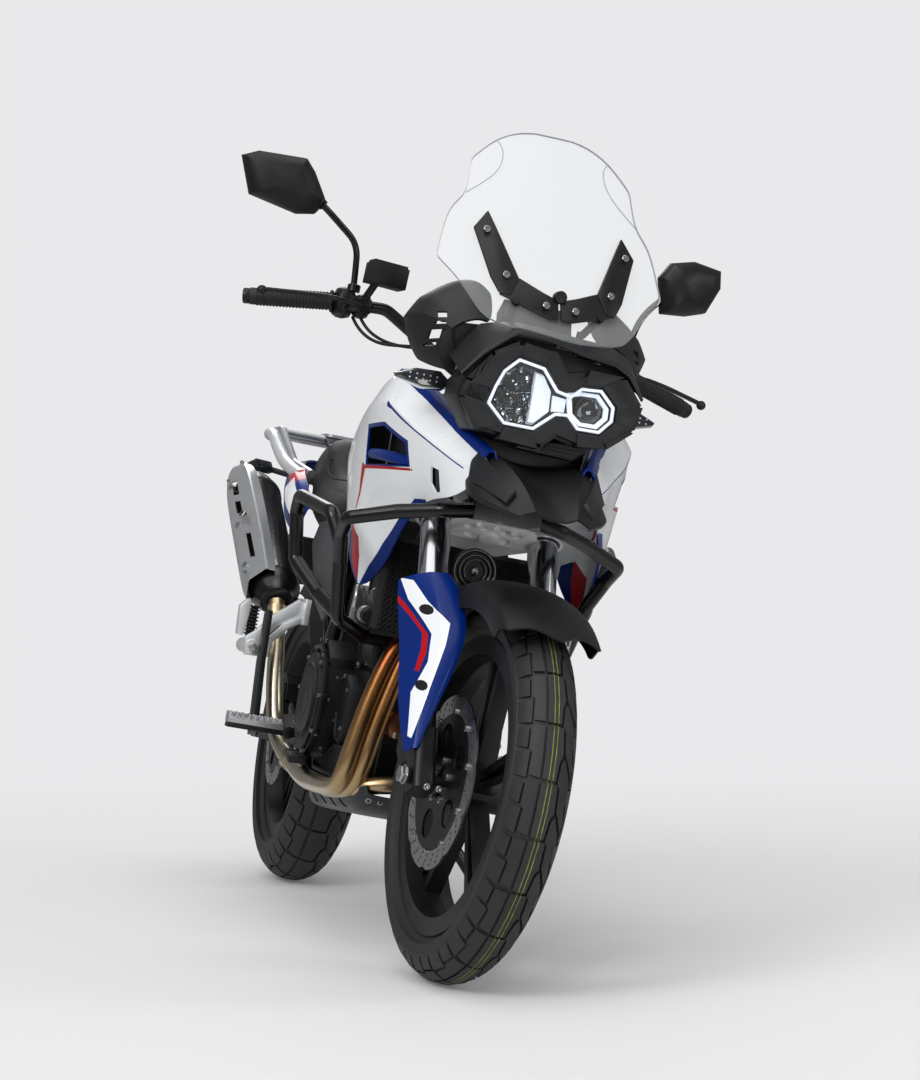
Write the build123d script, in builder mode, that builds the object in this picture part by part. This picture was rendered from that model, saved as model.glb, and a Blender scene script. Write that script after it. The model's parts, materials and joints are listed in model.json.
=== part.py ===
"""Adventure motorcycle parked on its side stand, built as separate pieces.

Every piece is drawn on an upright machine: forward is -Y, the rider's left is +X, up is +Z,
and the origin is on the floor midway between the axles. At the end the steered pieces turn by
STEER_ANGLE, the whole machine leans by LEAN_ANGLE onto its stand, and both tyres are set on the floor.
Lengths are millimetres and angles are degrees.
"""

import os
from math import asin, atan2, cos, degrees, radians, sin, sqrt

from build123d import *

# ---------------------------------------------------------------- driving dimensions
WHEELBASE = 1430.0
FRONT_AXLE_PLACE = (-715.0, 329.3)  # y and z of the front axle on the upright machine
REAR_AXLE_HEIGHT = 313.9
RAKE_ANGLE = 26.5
FORK_OFFSET = 50.28  # from the steering axis to the legs, which gives 108 mm of trail
LEAN_ANGLE = 10.4  # how far the parked machine leans to its left
STEER_ANGLE = 5.6  # how far the bars are turned to the left at rest
STEER_LIMIT = 35.0  # how far they turn each way
MASS = 170.0  # kilograms

FRONT_TYRE_WIDTH = 110.0
FRONT_TYRE_HEIGHT = 88.0
FRONT_RIM_DIAMETER = 482.6
REAR_TYRE_WIDTH = 140.0
REAR_TYRE_HEIGHT = 98.0
REAR_RIM_DIAMETER = 431.8
RIM_LIP = 14.0  # how far the rim's flange stands up beside the bead
RIM_WALL = 7.0
RIM_DEPTH = 24.0  # from the bead seat down to the well
TYRE_FIT = 0.1  # gap that keeps tyre and rim from sharing material
HUB_RADIUS = 36.0
SPOKE_PAIRS = 5
SPOKE_SPREAD = 11.0  # angle between the two spokes of a pair, at the rim
SPOKE_WIDTH = 15.0
SPOKE_THICKNESS = 30.0

AXLE_RADIUS = 8.5
BEARING_GAP = 0.05  # radial gap between an axle and what turns on it
PANEL = 4.0  # thickness of moulded body panels
SEAT_GAP = 0.3  # gap between pieces that lie against each other

FORK_HALF_SPACING = 102.0
FORK_OUTER_RADIUS = 27.0
FORK_INNER_RADIUS = 20.5
FORK_OUTER_FROM = 285.0  # distances up the leg from the axle
FORK_OUTER_TO = 730.0
LOWER_CLAMP_AT = 490.0
UPPER_CLAMP_AT = 688.0
CLAMP_THICKNESS = 26.0
STEM_RADIUS = 14.0
HEAD_TUBE_WALL = 6.0
LOWER_CLAMP_REACH = 30.0

FRONT_DISC_RADIUS = 150.0
REAR_DISC_RADIUS = 120.0
DISC_BAND = 30.0
DISC_THICKNESS = 5.0
FRONT_DISC_X = -62.0
REAR_DISC_X = -72.0
DISC_SCALLOPS = 10

FRAME_TUBE = 32.0
SUBFRAME_TUBE = 24.0
CRASH_TUBE = 26.0
BAR_TUBE = 22.2
HEADER_TUBE = 30.0

# ---------------------------------------------------------------- places worked out from them
front_radius = FRONT_RIM_DIAMETER / 2 + FRONT_TYRE_HEIGHT
rear_radius = REAR_RIM_DIAMETER / 2 + REAR_TYRE_HEIGHT
front_axle = Vector(0, *FRONT_AXLE_PLACE)
rear_axle = Vector(0, front_axle.Y + WHEELBASE, REAR_AXLE_HEIGHT)
rake_sin, rake_cos = sin(radians(RAKE_ANGLE)), cos(radians(RAKE_ANGLE))

# On this plane x is to the rider's left, y is square to the legs and points back, z runs up the legs.
fork_plane = Plane(origin=front_axle, x_dir=(1, 0, 0), z_dir=(0, rake_sin, rake_cos))
steering_axis = Axis(fork_plane.from_local_coords(Vector(0, FORK_OFFSET, 0)), fork_plane.z_dir)

pieces = {}  # every finished piece by name
steered = set()  # names of the pieces that turn with the bars


def keep(name, piece, turns=False):
    """Stores a finished piece under its node name."""
    pieces[name] = piece
    if turns:
        steered.add(name)


def on_fork(x, y, z):
    """A point given on the fork plane, as a point of the upright machine."""
    return fork_plane.from_local_coords(Vector(x, y, z))


def tube(points, diameter, bend=0.0):
    """Adds a round bar along straight runs joined by bends to the part being built."""
    with BuildLine() as route:
        if len(points) > 2:
            FilletPolyline(*points, radius=bend)
        else:
            Line(*points)
    with BuildSketch(Plane(origin=route.line @ 0, z_dir=route.line % 0)) as section:
        Circle(diameter / 2)
    sweep(sections=section.sketch, path=route.line)


def flipped(points):
    """The same points on the machine's other side."""
    return [(-x, y, z) for x, y, z in points]


def slab(plane, outline, depth, both=False):
    """Adds a flat plate of the given outline to the part being built."""
    with BuildSketch(plane) as face:
        Polygon(*outline, align=None)
    extrude(face.sketch, amount=depth, both=both)


def block(x, y, z):
    """Adds a box that spans the three (low, high) ranges to the part being built."""
    with Locations(((x[0] + x[1]) / 2, (y[0] + y[1]) / 2, (z[0] + z[1]) / 2)):
        Box(x[1] - x[0], y[1] - y[0], z[1] - z[0])


def ruled_body(sections):
    """Adds a loft with flat-sided steps through outlines given as (plane, points)."""
    faces = []
    for plane, outline in sections:
        with BuildSketch(plane) as face:
            Polygon(*outline, align=None)
        faces.append(face.sketch)
    loft(sections=faces, ruled=True)


def across(y):
    """Plane square to the machine's length at y, with sketch x to the left and sketch y up."""
    return Plane(origin=(0, y, 0), x_dir=(1, 0, 0), z_dir=(0, -1, 0))


def side_on(x):
    """Plane square to the machine's width at x, with sketch x pointing back and sketch y up."""
    return Plane(origin=(x, 0, 0), x_dir=(0, 1, 0), z_dir=(1, 0, 0))


# ---------------------------------------------------------------- wheels
def tyre(axle, radius, width, rim_diameter):
    """A tyre ring: round crown, side walls that bulge past the rim, and two beads."""
    crown = width / 2
    bead = width * 0.3
    seat = rim_diameter / 2 + TYRE_FIT
    belly = radius - crown + crown * 0.25
    plane = Plane(origin=axle, x_dir=(1, 0, 0), z_dir=(0, 1, 0))
    with BuildPart() as ring:
        with BuildSketch(plane) as half:
            with BuildLine():
                side = sqrt(crown**2 - (belly - (radius - crown)) ** 2)
                ThreePointArc((-side, -belly), (0, -radius), (side, -belly))
                Line((side, -belly), (bead, -seat - RIM_LIP))
                Line((bead, -seat - RIM_LIP), (bead, -seat))
                Line((bead, -seat), (-bead, -seat))
                Line((-bead, -seat), (-bead, -seat - RIM_LIP))
                Line((-bead, -seat - RIM_LIP), (-side, -belly))
            make_face()
        revolve(axis=Axis(axle, (1, 0, 0)))
    return ring


def rim(axle, width, rim_diameter, hub_half):
    """A cast wheel: channel section rim, hub with its bearing bore, and paired spokes."""
    bead = width * 0.3
    seat = rim_diameter / 2
    well = seat - RIM_DEPTH
    flange = bead + TYRE_FIT
    plane = Plane(origin=axle, x_dir=(1, 0, 0), z_dir=(0, 1, 0))
    with BuildPart() as wheel:
        with BuildSketch(plane):
            with BuildLine():
                Polyline(
                    (-flange - RIM_WALL, -well - RIM_WALL),
                    (-flange - RIM_WALL, -seat - RIM_LIP),
                    (-flange, -seat - RIM_LIP),
                    (-flange, -seat),
                    (-bead * 0.55, -seat),
                    (-bead * 0.4, -well - RIM_WALL),
                    (bead * 0.4, -well - RIM_WALL),
                    (bead * 0.55, -seat),
                    (flange, -seat),
                    (flange, -seat - RIM_LIP),
                    (flange + RIM_WALL, -seat - RIM_LIP),
                    (flange + RIM_WALL, -well - RIM_WALL),
                    (bead * 0.4, -well),
                    (-bead * 0.4, -well),
                    close=True,
                )
            make_face()
        revolve(axis=Axis(axle, (1, 0, 0)))
        hub_plane = Plane(origin=axle, x_dir=(0, 1, 0), z_dir=(1, 0, 0))
        with BuildSketch(hub_plane):
            Circle(HUB_RADIUS)
        extrude(amount=hub_half, both=True)
        for pair in range(SPOKE_PAIRS):
            for side in (-1, 1):
                root = radians(360 / SPOKE_PAIRS * pair + side * SPOKE_SPREAD * 1.5)
                tip = radians(360 / SPOKE_PAIRS * pair + side * SPOKE_SPREAD / 2)
                inner = Vector(sin(root), cos(root)) * (HUB_RADIUS - 8)
                outer = Vector(sin(tip), cos(tip)) * (well + RIM_WALL / 3)
                along = outer - inner
                middle = (inner + outer) * 0.5
                with BuildSketch(hub_plane):
                    with Locations((middle.X, middle.Y)):
                        Rectangle(
                            along.length, SPOKE_WIDTH, rotation=degrees(atan2(along.Y, along.X))
                        )
                extrude(amount=SPOKE_THICKNESS / 2, both=True)
        with BuildSketch(hub_plane):
            Circle(AXLE_RADIUS + BEARING_GAP)
        extrude(amount=hub_half + 1, both=True, mode=Mode.SUBTRACT)
    return wheel


def brake_disc(axle, x, radius, hub_half):
    """A scalloped rotor band on a carrier that bolts to the hub's end."""
    plane = Plane(origin=(x, axle.Y, axle.Z), x_dir=(0, 1, 0), z_dir=(1, 0, 0))
    with BuildPart() as rotor:
        with BuildSketch(plane):
            Circle(radius)
            Circle(radius - DISC_BAND, mode=Mode.SUBTRACT)
            with PolarLocations(radius + 4, DISC_SCALLOPS):
                Circle(12, mode=Mode.SUBTRACT)
        extrude(amount=DISC_THICKNESS / 2, both=True)
        with BuildSketch(plane):
            Circle(HUB_RADIUS + 14)
            with PolarLocations((radius - DISC_BAND + HUB_RADIUS) / 2 + 8, DISC_SCALLOPS // 2):
                Rectangle(radius - DISC_BAND - HUB_RADIUS, 26)
            Circle(AXLE_RADIUS * 2.6, mode=Mode.SUBTRACT)
        extrude(amount=DISC_THICKNESS / 2, both=True)
    return rotor


front_hub_half = abs(FRONT_DISC_X) - DISC_THICKNESS / 2 - BEARING_GAP
rear_hub_half = abs(REAR_DISC_X) - DISC_THICKNESS / 2 - BEARING_GAP

front_tyre = tyre(front_axle, front_radius, FRONT_TYRE_WIDTH, FRONT_RIM_DIAMETER)
front_rim = rim(front_axle, FRONT_TYRE_WIDTH, FRONT_RIM_DIAMETER, front_hub_half)
front_disc = brake_disc(front_axle, FRONT_DISC_X, FRONT_DISC_RADIUS, front_hub_half)
keep("front_tyre", front_tyre, turns=True)
keep("front_rim", front_rim, turns=True)
keep("front_disc", front_disc, turns=True)

rear_tyre = tyre(rear_axle, rear_radius, REAR_TYRE_WIDTH, REAR_RIM_DIAMETER)
rear_rim = rim(rear_axle, REAR_TYRE_WIDTH, REAR_RIM_DIAMETER, rear_hub_half)
rear_disc = brake_disc(rear_axle, REAR_DISC_X, REAR_DISC_RADIUS, rear_hub_half)
keep("rear_tyre", rear_tyre)
keep("rear_rim", rear_rim)
keep("rear_disc", rear_disc)

SPROCKET_X = 78.0
SPROCKET_RADIUS = 98.0
SPROCKET_TEETH = 40
SPROCKET_THICKNESS = 7.0
FRONT_SPROCKET = (100, 352, 36)  # y, z and radius
with BuildPart() as rear_sprocket:
    sprocket_plane = Plane(origin=(SPROCKET_X, rear_axle.Y, rear_axle.Z), x_dir=(0, 1, 0), z_dir=(1, 0, 0))
    with BuildSketch(sprocket_plane):
        Circle(SPROCKET_RADIUS)
        with PolarLocations(SPROCKET_RADIUS + 1, SPROCKET_TEETH):
            Circle(4.2, mode=Mode.SUBTRACT)
        with PolarLocations(SPROCKET_RADIUS * 0.66, 6):
            Circle(15, mode=Mode.SUBTRACT)
        Circle(AXLE_RADIUS * 2.6, mode=Mode.SUBTRACT)
    extrude(amount=SPROCKET_THICKNESS / 2, both=True)
    with BuildSketch(Plane(origin=(rear_hub_half, rear_axle.Y, rear_axle.Z), x_dir=(0, 1, 0), z_dir=(1, 0, 0))):
        Circle(HUB_RADIUS + 8)
        Circle(AXLE_RADIUS * 2.6, mode=Mode.SUBTRACT)
    extrude(amount=SPROCKET_X - rear_hub_half)
keep("rear_sprocket", rear_sprocket)

# ---------------------------------------------------------------- front fork
AXLE_HALF = 124.0
with BuildPart() as front_axle_bar:
    with BuildSketch(Plane(origin=front_axle, x_dir=(0, 1, 0), z_dir=(1, 0, 0))):
        Circle(AXLE_RADIUS)
    extrude(amount=AXLE_HALF, both=True)
    with BuildSketch(Plane(origin=front_axle - Vector(AXLE_HALF, 0, 0), x_dir=(0, 1, 0), z_dir=(-1, 0, 0))):
        RegularPolygon(15, 6)
    extrude(amount=9)

FOOT_LENGTH = 110.0
FOOT_RADIUS = 26.0
with BuildPart() as fork_lowers:
    for side in (-1, 1):
        with BuildSketch(Plane(origin=on_fork(side * FORK_HALF_SPACING, 0, 0), x_dir=(1, 0, 0), z_dir=fork_plane.z_dir)):
            Circle(FORK_INNER_RADIUS)
        extrude(amount=FORK_OUTER_FROM - SEAT_GAP)
        with BuildSketch(Plane(origin=on_fork(side * FORK_HALF_SPACING, 0, -FOOT_RADIUS), x_dir=(1, 0, 0), z_dir=fork_plane.z_dir)):
            RectangleRounded(40, 2 * FOOT_RADIUS, 12)
        extrude(amount=FOOT_LENGTH)
    add(front_axle_bar.part)
keep("fork_lowers", fork_lowers, turns=True)

with BuildPart() as fork_tubes:
    for side in (-1, 1):
        foot = Plane(origin=on_fork(side * FORK_HALF_SPACING, 0, FORK_OUTER_FROM), x_dir=(1, 0, 0), z_dir=fork_plane.z_dir)
        with BuildSketch(foot):
            Circle(FORK_OUTER_RADIUS)
        extrude(amount=FORK_OUTER_TO - FORK_OUTER_FROM)
keep("fork_tubes", fork_tubes, turns=True)

head_low = LOWER_CLAMP_AT + CLAMP_THICKNESS + SEAT_GAP
head_high = UPPER_CLAMP_AT - SEAT_GAP
with BuildPart() as triple_clamps:
    for height, reach in ((LOWER_CLAMP_AT, LOWER_CLAMP_REACH), (UPPER_CLAMP_AT, LOWER_CLAMP_REACH)):
        clamp_plane = Plane(origin=on_fork(0, 0, height), x_dir=(1, 0, 0), z_dir=fork_plane.z_dir)
        with BuildSketch(clamp_plane):
            Polygon(
                (-FORK_HALF_SPACING, -reach),
                (FORK_HALF_SPACING, -reach),
                (FORK_HALF_SPACING, reach),
                (45, FORK_OFFSET + 30),
                (-45, FORK_OFFSET + 30),
                (-FORK_HALF_SPACING, reach),
                align=None,
            )
            with Locations((-FORK_HALF_SPACING, 0), (FORK_HALF_SPACING, 0)):
                Circle(FORK_OUTER_RADIUS + 10)
            with Locations((-FORK_HALF_SPACING, 0), (FORK_HALF_SPACING, 0)):
                Circle(FORK_OUTER_RADIUS + BEARING_GAP, mode=Mode.SUBTRACT)
        extrude(amount=CLAMP_THICKNESS)
    with BuildSketch(Plane(origin=on_fork(0, FORK_OFFSET, LOWER_CLAMP_AT), x_dir=(1, 0, 0), z_dir=fork_plane.z_dir)):
        Circle(STEM_RADIUS)
    extrude(amount=UPPER_CLAMP_AT - LOWER_CLAMP_AT + CLAMP_THICKNESS + 12)
keep("triple_clamps", triple_clamps, turns=True)

# guards that wrap the front and the outside of each lower leg
GUARD_SECTIONS = (  # height up the leg, then x and depth of the inner edge, of the ridge and of the outer edge
    (48, 123, -24, 128, -18, 134, 6),
    (90, 108, -36, 126, -32, 142, 10),
    (130, 92, -50, 116, -46, 150, 8),
    (222, 72, -94, 108, -80, 152, 0),
    (270, 76, -90, 116, -84, 158, 2),
    (345, 98, -66, 126, -58, 160, -10),
)
with BuildPart() as fork_guards:
    ruled_body(
        [
            (
                Plane(origin=on_fork(0, 0, z), x_dir=(1, 0, 0), z_dir=fork_plane.z_dir),
                ((xi, yi), (xr, yr), (xo, yo), (xo - PANEL, yo), (xr - PANEL / 2, yr + PANEL), (xi, yi + PANEL)),
            )
            for z, xi, yi, xr, yr, xo, yo in GUARD_SECTIONS
        ]
    )
    mirror(about=Plane.YZ)
keep("fork_guards", fork_guards, turns=True)

# front fender: a shell round the tyre, wider than it, from ahead of the crown to behind the legs
FENDER_GAP = 27.0
FENDER_HALF_WIDTH = 92.0
FENDER_FRONT = 38.0  # angles from straight up
FENDER_REAR = 40.0
FENDER_DROP = 62.0
with BuildPart() as front_fender:
    fender_out = front_radius + FENDER_GAP
    with BuildSketch(Plane(origin=front_axle, x_dir=(1, 0, 0), z_dir=(0, 1, 0))):
        with BuildLine():
            Polyline(
                (-FENDER_HALF_WIDTH + 8, -fender_out + FENDER_DROP),
                (-FENDER_HALF_WIDTH + 4, -fender_out + 22),
                (-FENDER_HALF_WIDTH + 40, -fender_out + 2),
                (0, -fender_out - PANEL),
                (FENDER_HALF_WIDTH - 40, -fender_out + 2),
                (FENDER_HALF_WIDTH - 4, -fender_out + 22),
                (FENDER_HALF_WIDTH - 8, -fender_out + FENDER_DROP),
                (FENDER_HALF_WIDTH - 12, -fender_out + FENDER_DROP),
                (FENDER_HALF_WIDTH - 8, -fender_out + 24),
                (FENDER_HALF_WIDTH - 42, -fender_out + 6),
                (0, -fender_out),
                (-FENDER_HALF_WIDTH + 42, -fender_out + 6),
                (-FENDER_HALF_WIDTH + 8, -fender_out + 24),
                (-FENDER_HALF_WIDTH + 12, -fender_out + FENDER_DROP),
                close=True,
            )
        make_face()
    revolve(axis=Axis(front_axle, (1, 0, 0)), revolution_arc=FENDER_FRONT + FENDER_REAR)
front_fender.part = front_fender.part.rotate(Axis(front_axle, (1, 0, 0)), -FENDER_REAR)
keep("front_fender", front_fender, turns=True)


CALIPER_WIDTH = 50.0
CALIPER_SLOT = 5.0  # clearance to each face of the disc
with BuildPart() as front_caliper:
    caliper_plane = Plane(origin=on_fork(FRONT_DISC_X, 0, 0), x_dir=fork_plane.y_dir, z_dir=(1, 0, 0))
    slab(caliper_plane, ((60, 92), (96, 74), (150, 84), (168, 118), (150, 150), (84, 150)), CALIPER_WIDTH / 2, both=True)
    with BuildSketch(caliper_plane):
        Circle(FRONT_DISC_RADIUS + 7)
    extrude(amount=DISC_THICKNESS / 2 + CALIPER_SLOT, both=True, mode=Mode.SUBTRACT)
    leg_inside = FORK_HALF_SPACING - FORK_INNER_RADIUS
    caliper_bracket = Plane(origin=on_fork(-leg_inside - 4, 0, 0), x_dir=fork_plane.y_dir, z_dir=(1, 0, 0))
    slab(caliper_bracket, ((12, 40), (30, 40), (128, 88), (128, 128), (70, 128), (12, 84)), -14)
keep("front_caliper", front_caliper, turns=True)

# ---------------------------------------------------------------- handlebar and what it carries
BAR_CENTRE = (0, -308, 1046)
BAR_BEND = (210, -268, 1132)
GRIP_INNER = (300, -232, 1126)
GRIP_OUTER = (440, -176, 1104)
GRIP_DIAMETER = 33.0
bar_side = [(60, BAR_CENTRE[1], BAR_CENTRE[2]), BAR_BEND, GRIP_INNER, GRIP_OUTER]
with BuildPart() as handlebar:
    tube(flipped(bar_side)[::-1] + bar_side, BAR_TUBE, 40)
    for side in (-1, 1):
        tube([(side * 36, -356, 934), (side * 36, BAR_CENTRE[1], BAR_CENTRE[2])], 26)
    block((-56, 56), (BAR_CENTRE[1] - 22, BAR_CENTRE[1] + 22), (BAR_CENTRE[2] - 18, BAR_CENTRE[2] + 18))
keep("handlebar", handlebar, turns=True)

with BuildPart() as grips:
    tube([GRIP_INNER, GRIP_OUTER], GRIP_DIAMETER)
    mirror(about=Plane.YZ)
keep("grips", grips, turns=True)

with BuildPart() as hand_controls:
    block((214, 292), (-262, -212), (1106, 1154))
    tube([(262, -258, 1128), (318, -292, 1132), (380, -296, 1122), (446, -262, 1104)], 11, 22)
    mirror(about=Plane.YZ)
    block((-270, -200), (-318, -268), (1168, 1204))
    tube([(-238, -290, 1170), (-240, -250, 1130)], 14)
keep("hand_controls", hand_controls, turns=True)

with BuildPart() as mirrors:
    tube([(272, -240, 1150), (273, -252, 1182), (300, -256, 1236), (372, -272, 1286), (392, -276, 1294)], 11, 12)
    slab(Plane(origin=(0, -262, 0), x_dir=(1, 0, 0), z_dir=(0, -1, 0)), ((388, 1262), (404, 1354), (440, 1358), (524, 1340), (520, 1312), (494, 1278), (430, 1256)), 34)
    mirror(about=Plane.YZ)
keep("mirrors", mirrors, turns=True)

# ---------------------------------------------------------------- frame
SPINE_HALF_WIDTH = 15.0
SPINE_Z = (836, 862)
SPINE_FRONT = -612.0
head_plane = Plane(origin=on_fork(0, FORK_OFFSET, head_low), x_dir=(1, 0, 0), z_dir=fork_plane.z_dir)
PIVOT = (190, 338)  # y and z of the swingarm's pivot
FRAME_HALF_WIDTH = 106.0
with BuildPart() as main_frame:
    with BuildSketch(head_plane):
        Circle(STEM_RADIUS + HEAD_TUBE_WALL + 4)
    extrude(amount=head_high - head_low)
    for side in (-1, 1):
        tube([(side * 14, -376, 868), (side * 104, -262, 800), (side * 118, 0, 716), (side * FRAME_HALF_WIDTH, 160, 520), (side * FRAME_HALF_WIDTH, 196, 320), (side * FRAME_HALF_WIDTH, 170, 262)], FRAME_TUBE, 60)
        tube([(side * 12, -418, 796), (side * 72, -334, 752), (side * 88, -320, 640), (side * 88, -306, 400), (side * 88, -276, 262), (side * FRAME_HALF_WIDTH, 172, 262)], 28, 40)
    tube([(-FRAME_HALF_WIDTH, 172, 262), (FRAME_HALF_WIDTH, 172, 262)], 28)
    tube([(-FRAME_HALF_WIDTH, 132, 560), (FRAME_HALF_WIDTH, 132, 560)], 28)
    with BuildSketch(head_plane):
        Circle(STEM_RADIUS + BEARING_GAP)
    extrude(amount=head_high - head_low, mode=Mode.SUBTRACT)
keep("frame", main_frame)

with BuildPart() as fairing_stay:
    block((-SPINE_HALF_WIDTH, SPINE_HALF_WIDTH), (SPINE_FRONT, -430), SPINE_Z)
    block((-60, 60), (SPINE_FRONT, SPINE_FRONT + 10), (790, SPINE_Z[1]))
    block((-60, 60), (-622, -590), (780, 812))
    for side in (-1, 1):
        tube([(side * 40, SPINE_FRONT + 5, 850), (side * 56, -622, 1000), (side * 66, -640, 1130)], 14, 30)
        tube([(side * 50, -618, 940), (side * 134, -600, 1004)], 14)
    tube([(-150, -632, 1090), (150, -632, 1090)], 14)
keep("fairing_stay", fairing_stay)

with BuildPart() as subframe:
    for side in (-1, 1):
        tube([(side * 116, 10, 728), (side * 104, 120, 760), (side * 92, 420, 790), (side * 60, 780, 856)], SUBFRAME_TUBE, 80)
        tube([(side * 106, 168, 500), (side * 96, 470, 770), (side * 88, 520, 808)], SUBFRAME_TUBE, 40)
    tube([(-68, 700, 842), (68, 700, 842)], SUBFRAME_TUBE)
    tube([(-94, 400, 788), (94, 400, 788)], SUBFRAME_TUBE)
keep("subframe", subframe)

# ---------------------------------------------------------------- engine and exhaust
with BuildPart() as engine:
    slab(side_on(-110), ((-236, 292), (-196, 276), (120, 276), (150, 320), (128, 430), (40, 486), (-250, 486), (-262, 360)), 170)
    slab(side_on(60), ((-236, 292), (-196, 276), (40, 276), (40, 486), (-250, 486), (-262, 360)), 56)
    slab(side_on(-98), ((-252, 480), (-100, 480), (-126, 688), (-150, 726), (-262, 708), (-280, 660)), 196)
    for x, y, z, radius, depth in ((-110, -30, 410, 104, -56), (-166, -30, 410, 66, -12), (116, -130, 390, 88, 48)):
        with BuildSketch(Plane(origin=(x, y, z), x_dir=(0, 1, 0), z_dir=(1, 0, 0))):
            Circle(radius)
        extrude(amount=depth)
    for radius, x in ((14, 82), (FRONT_SPROCKET[2], SPROCKET_X + SPROCKET_THICKNESS / 2)):
        with BuildSketch(side_on(x)):
            with Locations((FRONT_SPROCKET[0], FRONT_SPROCKET[1])):
                Circle(radius)
        extrude(amount=-SPROCKET_THICKNESS if radius > 14 else -30)
keep("engine", engine)

with BuildPart() as exhaust_headers:
    tube([(-44, -262, 640), (-44, -330, 616), (-96, -358, 470), (-136, -350, 300), (-160, -150, 258), (-164, 130, 282), (-196, 240, 420), (-206, 296, 588)], HEADER_TUBE, 28)
    tube([(44, -262, 640), (44, -330, 616), (34, -358, 470), (0, -358, 310), (-60, -352, 274), (-122, -322, 266), (-148, -240, 277)], HEADER_TUBE, 20)
keep("exhaust_headers", exhaust_headers)

MUFFLER_DIAMETER = 102.0
muffler_front, muffler_rear = Vector(-206, 292, 584), Vector(-222, 724, 826)
muffler_way = (muffler_rear - muffler_front).normalized()
with BuildPart() as muffler:
    for along, radius in ((0, 34), (46, MUFFLER_DIAMETER / 2), (430, MUFFLER_DIAMETER / 2), (492, 40)):
        with BuildSketch(Plane(origin=muffler_front + muffler_way * along, x_dir=(1, 0, 0), z_dir=muffler_way)):
            Circle(radius)
    loft(ruled=True)
keep("muffler", muffler)

with BuildPart() as muffler_shield:
    shield_plane = Plane(origin=muffler_front + muffler_way * 70, x_dir=(1, 0, 0), z_dir=muffler_way)
    with BuildSketch(shield_plane):
        with BuildLine():
            CenterArc((0, 0), MUFFLER_DIAMETER / 2 + 9, 110, 140)
            offset(amount=2.0)
        make_face()
    extrude(amount=360)
    for along in (60, 300):
        post_foot = muffler_front + muffler_way * (70 + along)
        tube([post_foot + Vector(-MUFFLER_DIAMETER / 2 + 6, 0, 0), post_foot + Vector(-MUFFLER_DIAMETER / 2 - 9, 0, 0)], 16)
keep("muffler_shield", muffler_shield)

with BuildPart() as radiator:
    block((-150, 150), (-386, -360), (560, 735))
    block((-172, -150), (-384, -362), (580, 720))
    block((150, 172), (-384, -362), (580, 720))

HORN_RADIUS = 39.0
with BuildPart() as radiator_and_horn:
    add(radiator.part)
    with BuildSketch(Plane(origin=(-8, -486, 696), x_dir=(1, 0, 0), z_dir=(0, 1, 0))):
        Circle(HORN_RADIUS)
    extrude(amount=34)
    block((-18, 2), (-456, -384), (690, 702))
    for side in (-1, 1):
        tube([(side * 88, -362, 640), (side * 88, -330, 640)], 14)
keep("radiator", radiator_and_horn)

# ---------------------------------------------------------------- tank, seat and body panels
TANK_SECTIONS = (  # y, half width low, z low, half width at the crest, z of the crest, half width on top, z of the top
    (-238, 60, 836, 150, 900, 84, 982),
    (-150, 118, 806, 172, 892, 92, 1000),
    (-20, 122, 790, 166, 880, 92, 1000),
    (80, 96, 784, 128, 852, 70, 930),
    (132, 70, 790, 96, 830, 50, 872),
)
with BuildPart() as fuel_tank:
    ruled_body(
        [
            (across(y), ((-low, z_low), (-crest, z_crest), (-top, z_top), (top, z_top), (crest, z_crest), (low, z_low)))
            for y, low, z_low, crest, z_crest, top, z_top in TANK_SECTIONS
        ]
    )
keep("fuel_tank", fuel_tank)

CAP_RADIUS = 56.0
CAP_HEIGHT = 10.0
CAP_PLACE = (-84, 1000)  # y and z of the middle of its seat
with BuildPart() as fuel_cap:
    with BuildSketch(Plane(origin=(0, CAP_PLACE[0], CAP_PLACE[1] + SEAT_GAP), x_dir=(1, 0, 0), z_dir=(0, 0, 1))):
        Circle(CAP_RADIUS)
    extrude(amount=CAP_HEIGHT)
keep("fuel_cap", fuel_cap)

SHROUD_SECTIONS = (  # y, then x and z of the top edge, of the crest and of the lower edge
    (-110, 178, 926, 192, 900, 180, 862),
    (-250, 170, 986, 198, 948, 178, 790),
    (-345, 180, 996, 204, 946, 182, 640),
    (-400, 188, 996, 208, 944, 178, 700),
    (-480, 206, 990, 218, 938, 166, 780),
    (-560, 168, 972, 206, 916, 130, 806),
    (-650, 124, 930, 148, 888, 128, 806),
    (-752, 88, 888, 98, 866, 92, 842),
)
with BuildPart() as shrouds:
    ruled_body(
        [
            (across(y), ((xt, zt), (xc, zc), (xb, zb), (xb - PANEL, zb), (xc - PANEL, zc - 1), (xt - PANEL, zt - 2)))
            for y, xt, zt, xc, zc, xb, zb in SHROUD_SECTIONS
        ]
    )
    mirror(about=Plane.YZ)
keep("shrouds", shrouds)

SIDE_PANEL = ((-60, 742), (10, 764), (150, 756), (280, 700), (180, 600), (60, 560), (-20, 620))
with BuildPart() as side_panels:
    slab(side_on(146), SIDE_PANEL, 8)
    slab(side_on(126), ((-30, 700), (20, 740), (60, 740), (30, 680)), 20.2)
    mirror(about=Plane.YZ)
keep("side_panels", side_panels)

SEAT_SECTIONS = (  # y, half width low, z low, half width above, z of the top
    (104, 74, 782, 60, 866),
    (190, 108, 776, 92, 846),
    (330, 132, 788, 118, 852),
    (410, 134, 798, 116, 880),
    (450, 130, 804, 108, 930),
    (610, 112, 834, 92, 944),
    (660, 96, 846, 78, 932),
)
with BuildPart() as seat:
    ruled_body(
        [
            (across(y), ((-low, z_low), (-low - 4, z_low + 26), (-top, z_top), (top, z_top), (low + 4, z_low + 26), (low, z_low)))
            for y, low, z_low, top, z_top in SEAT_SECTIONS
        ]
    )
keep("seat", seat)

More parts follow.
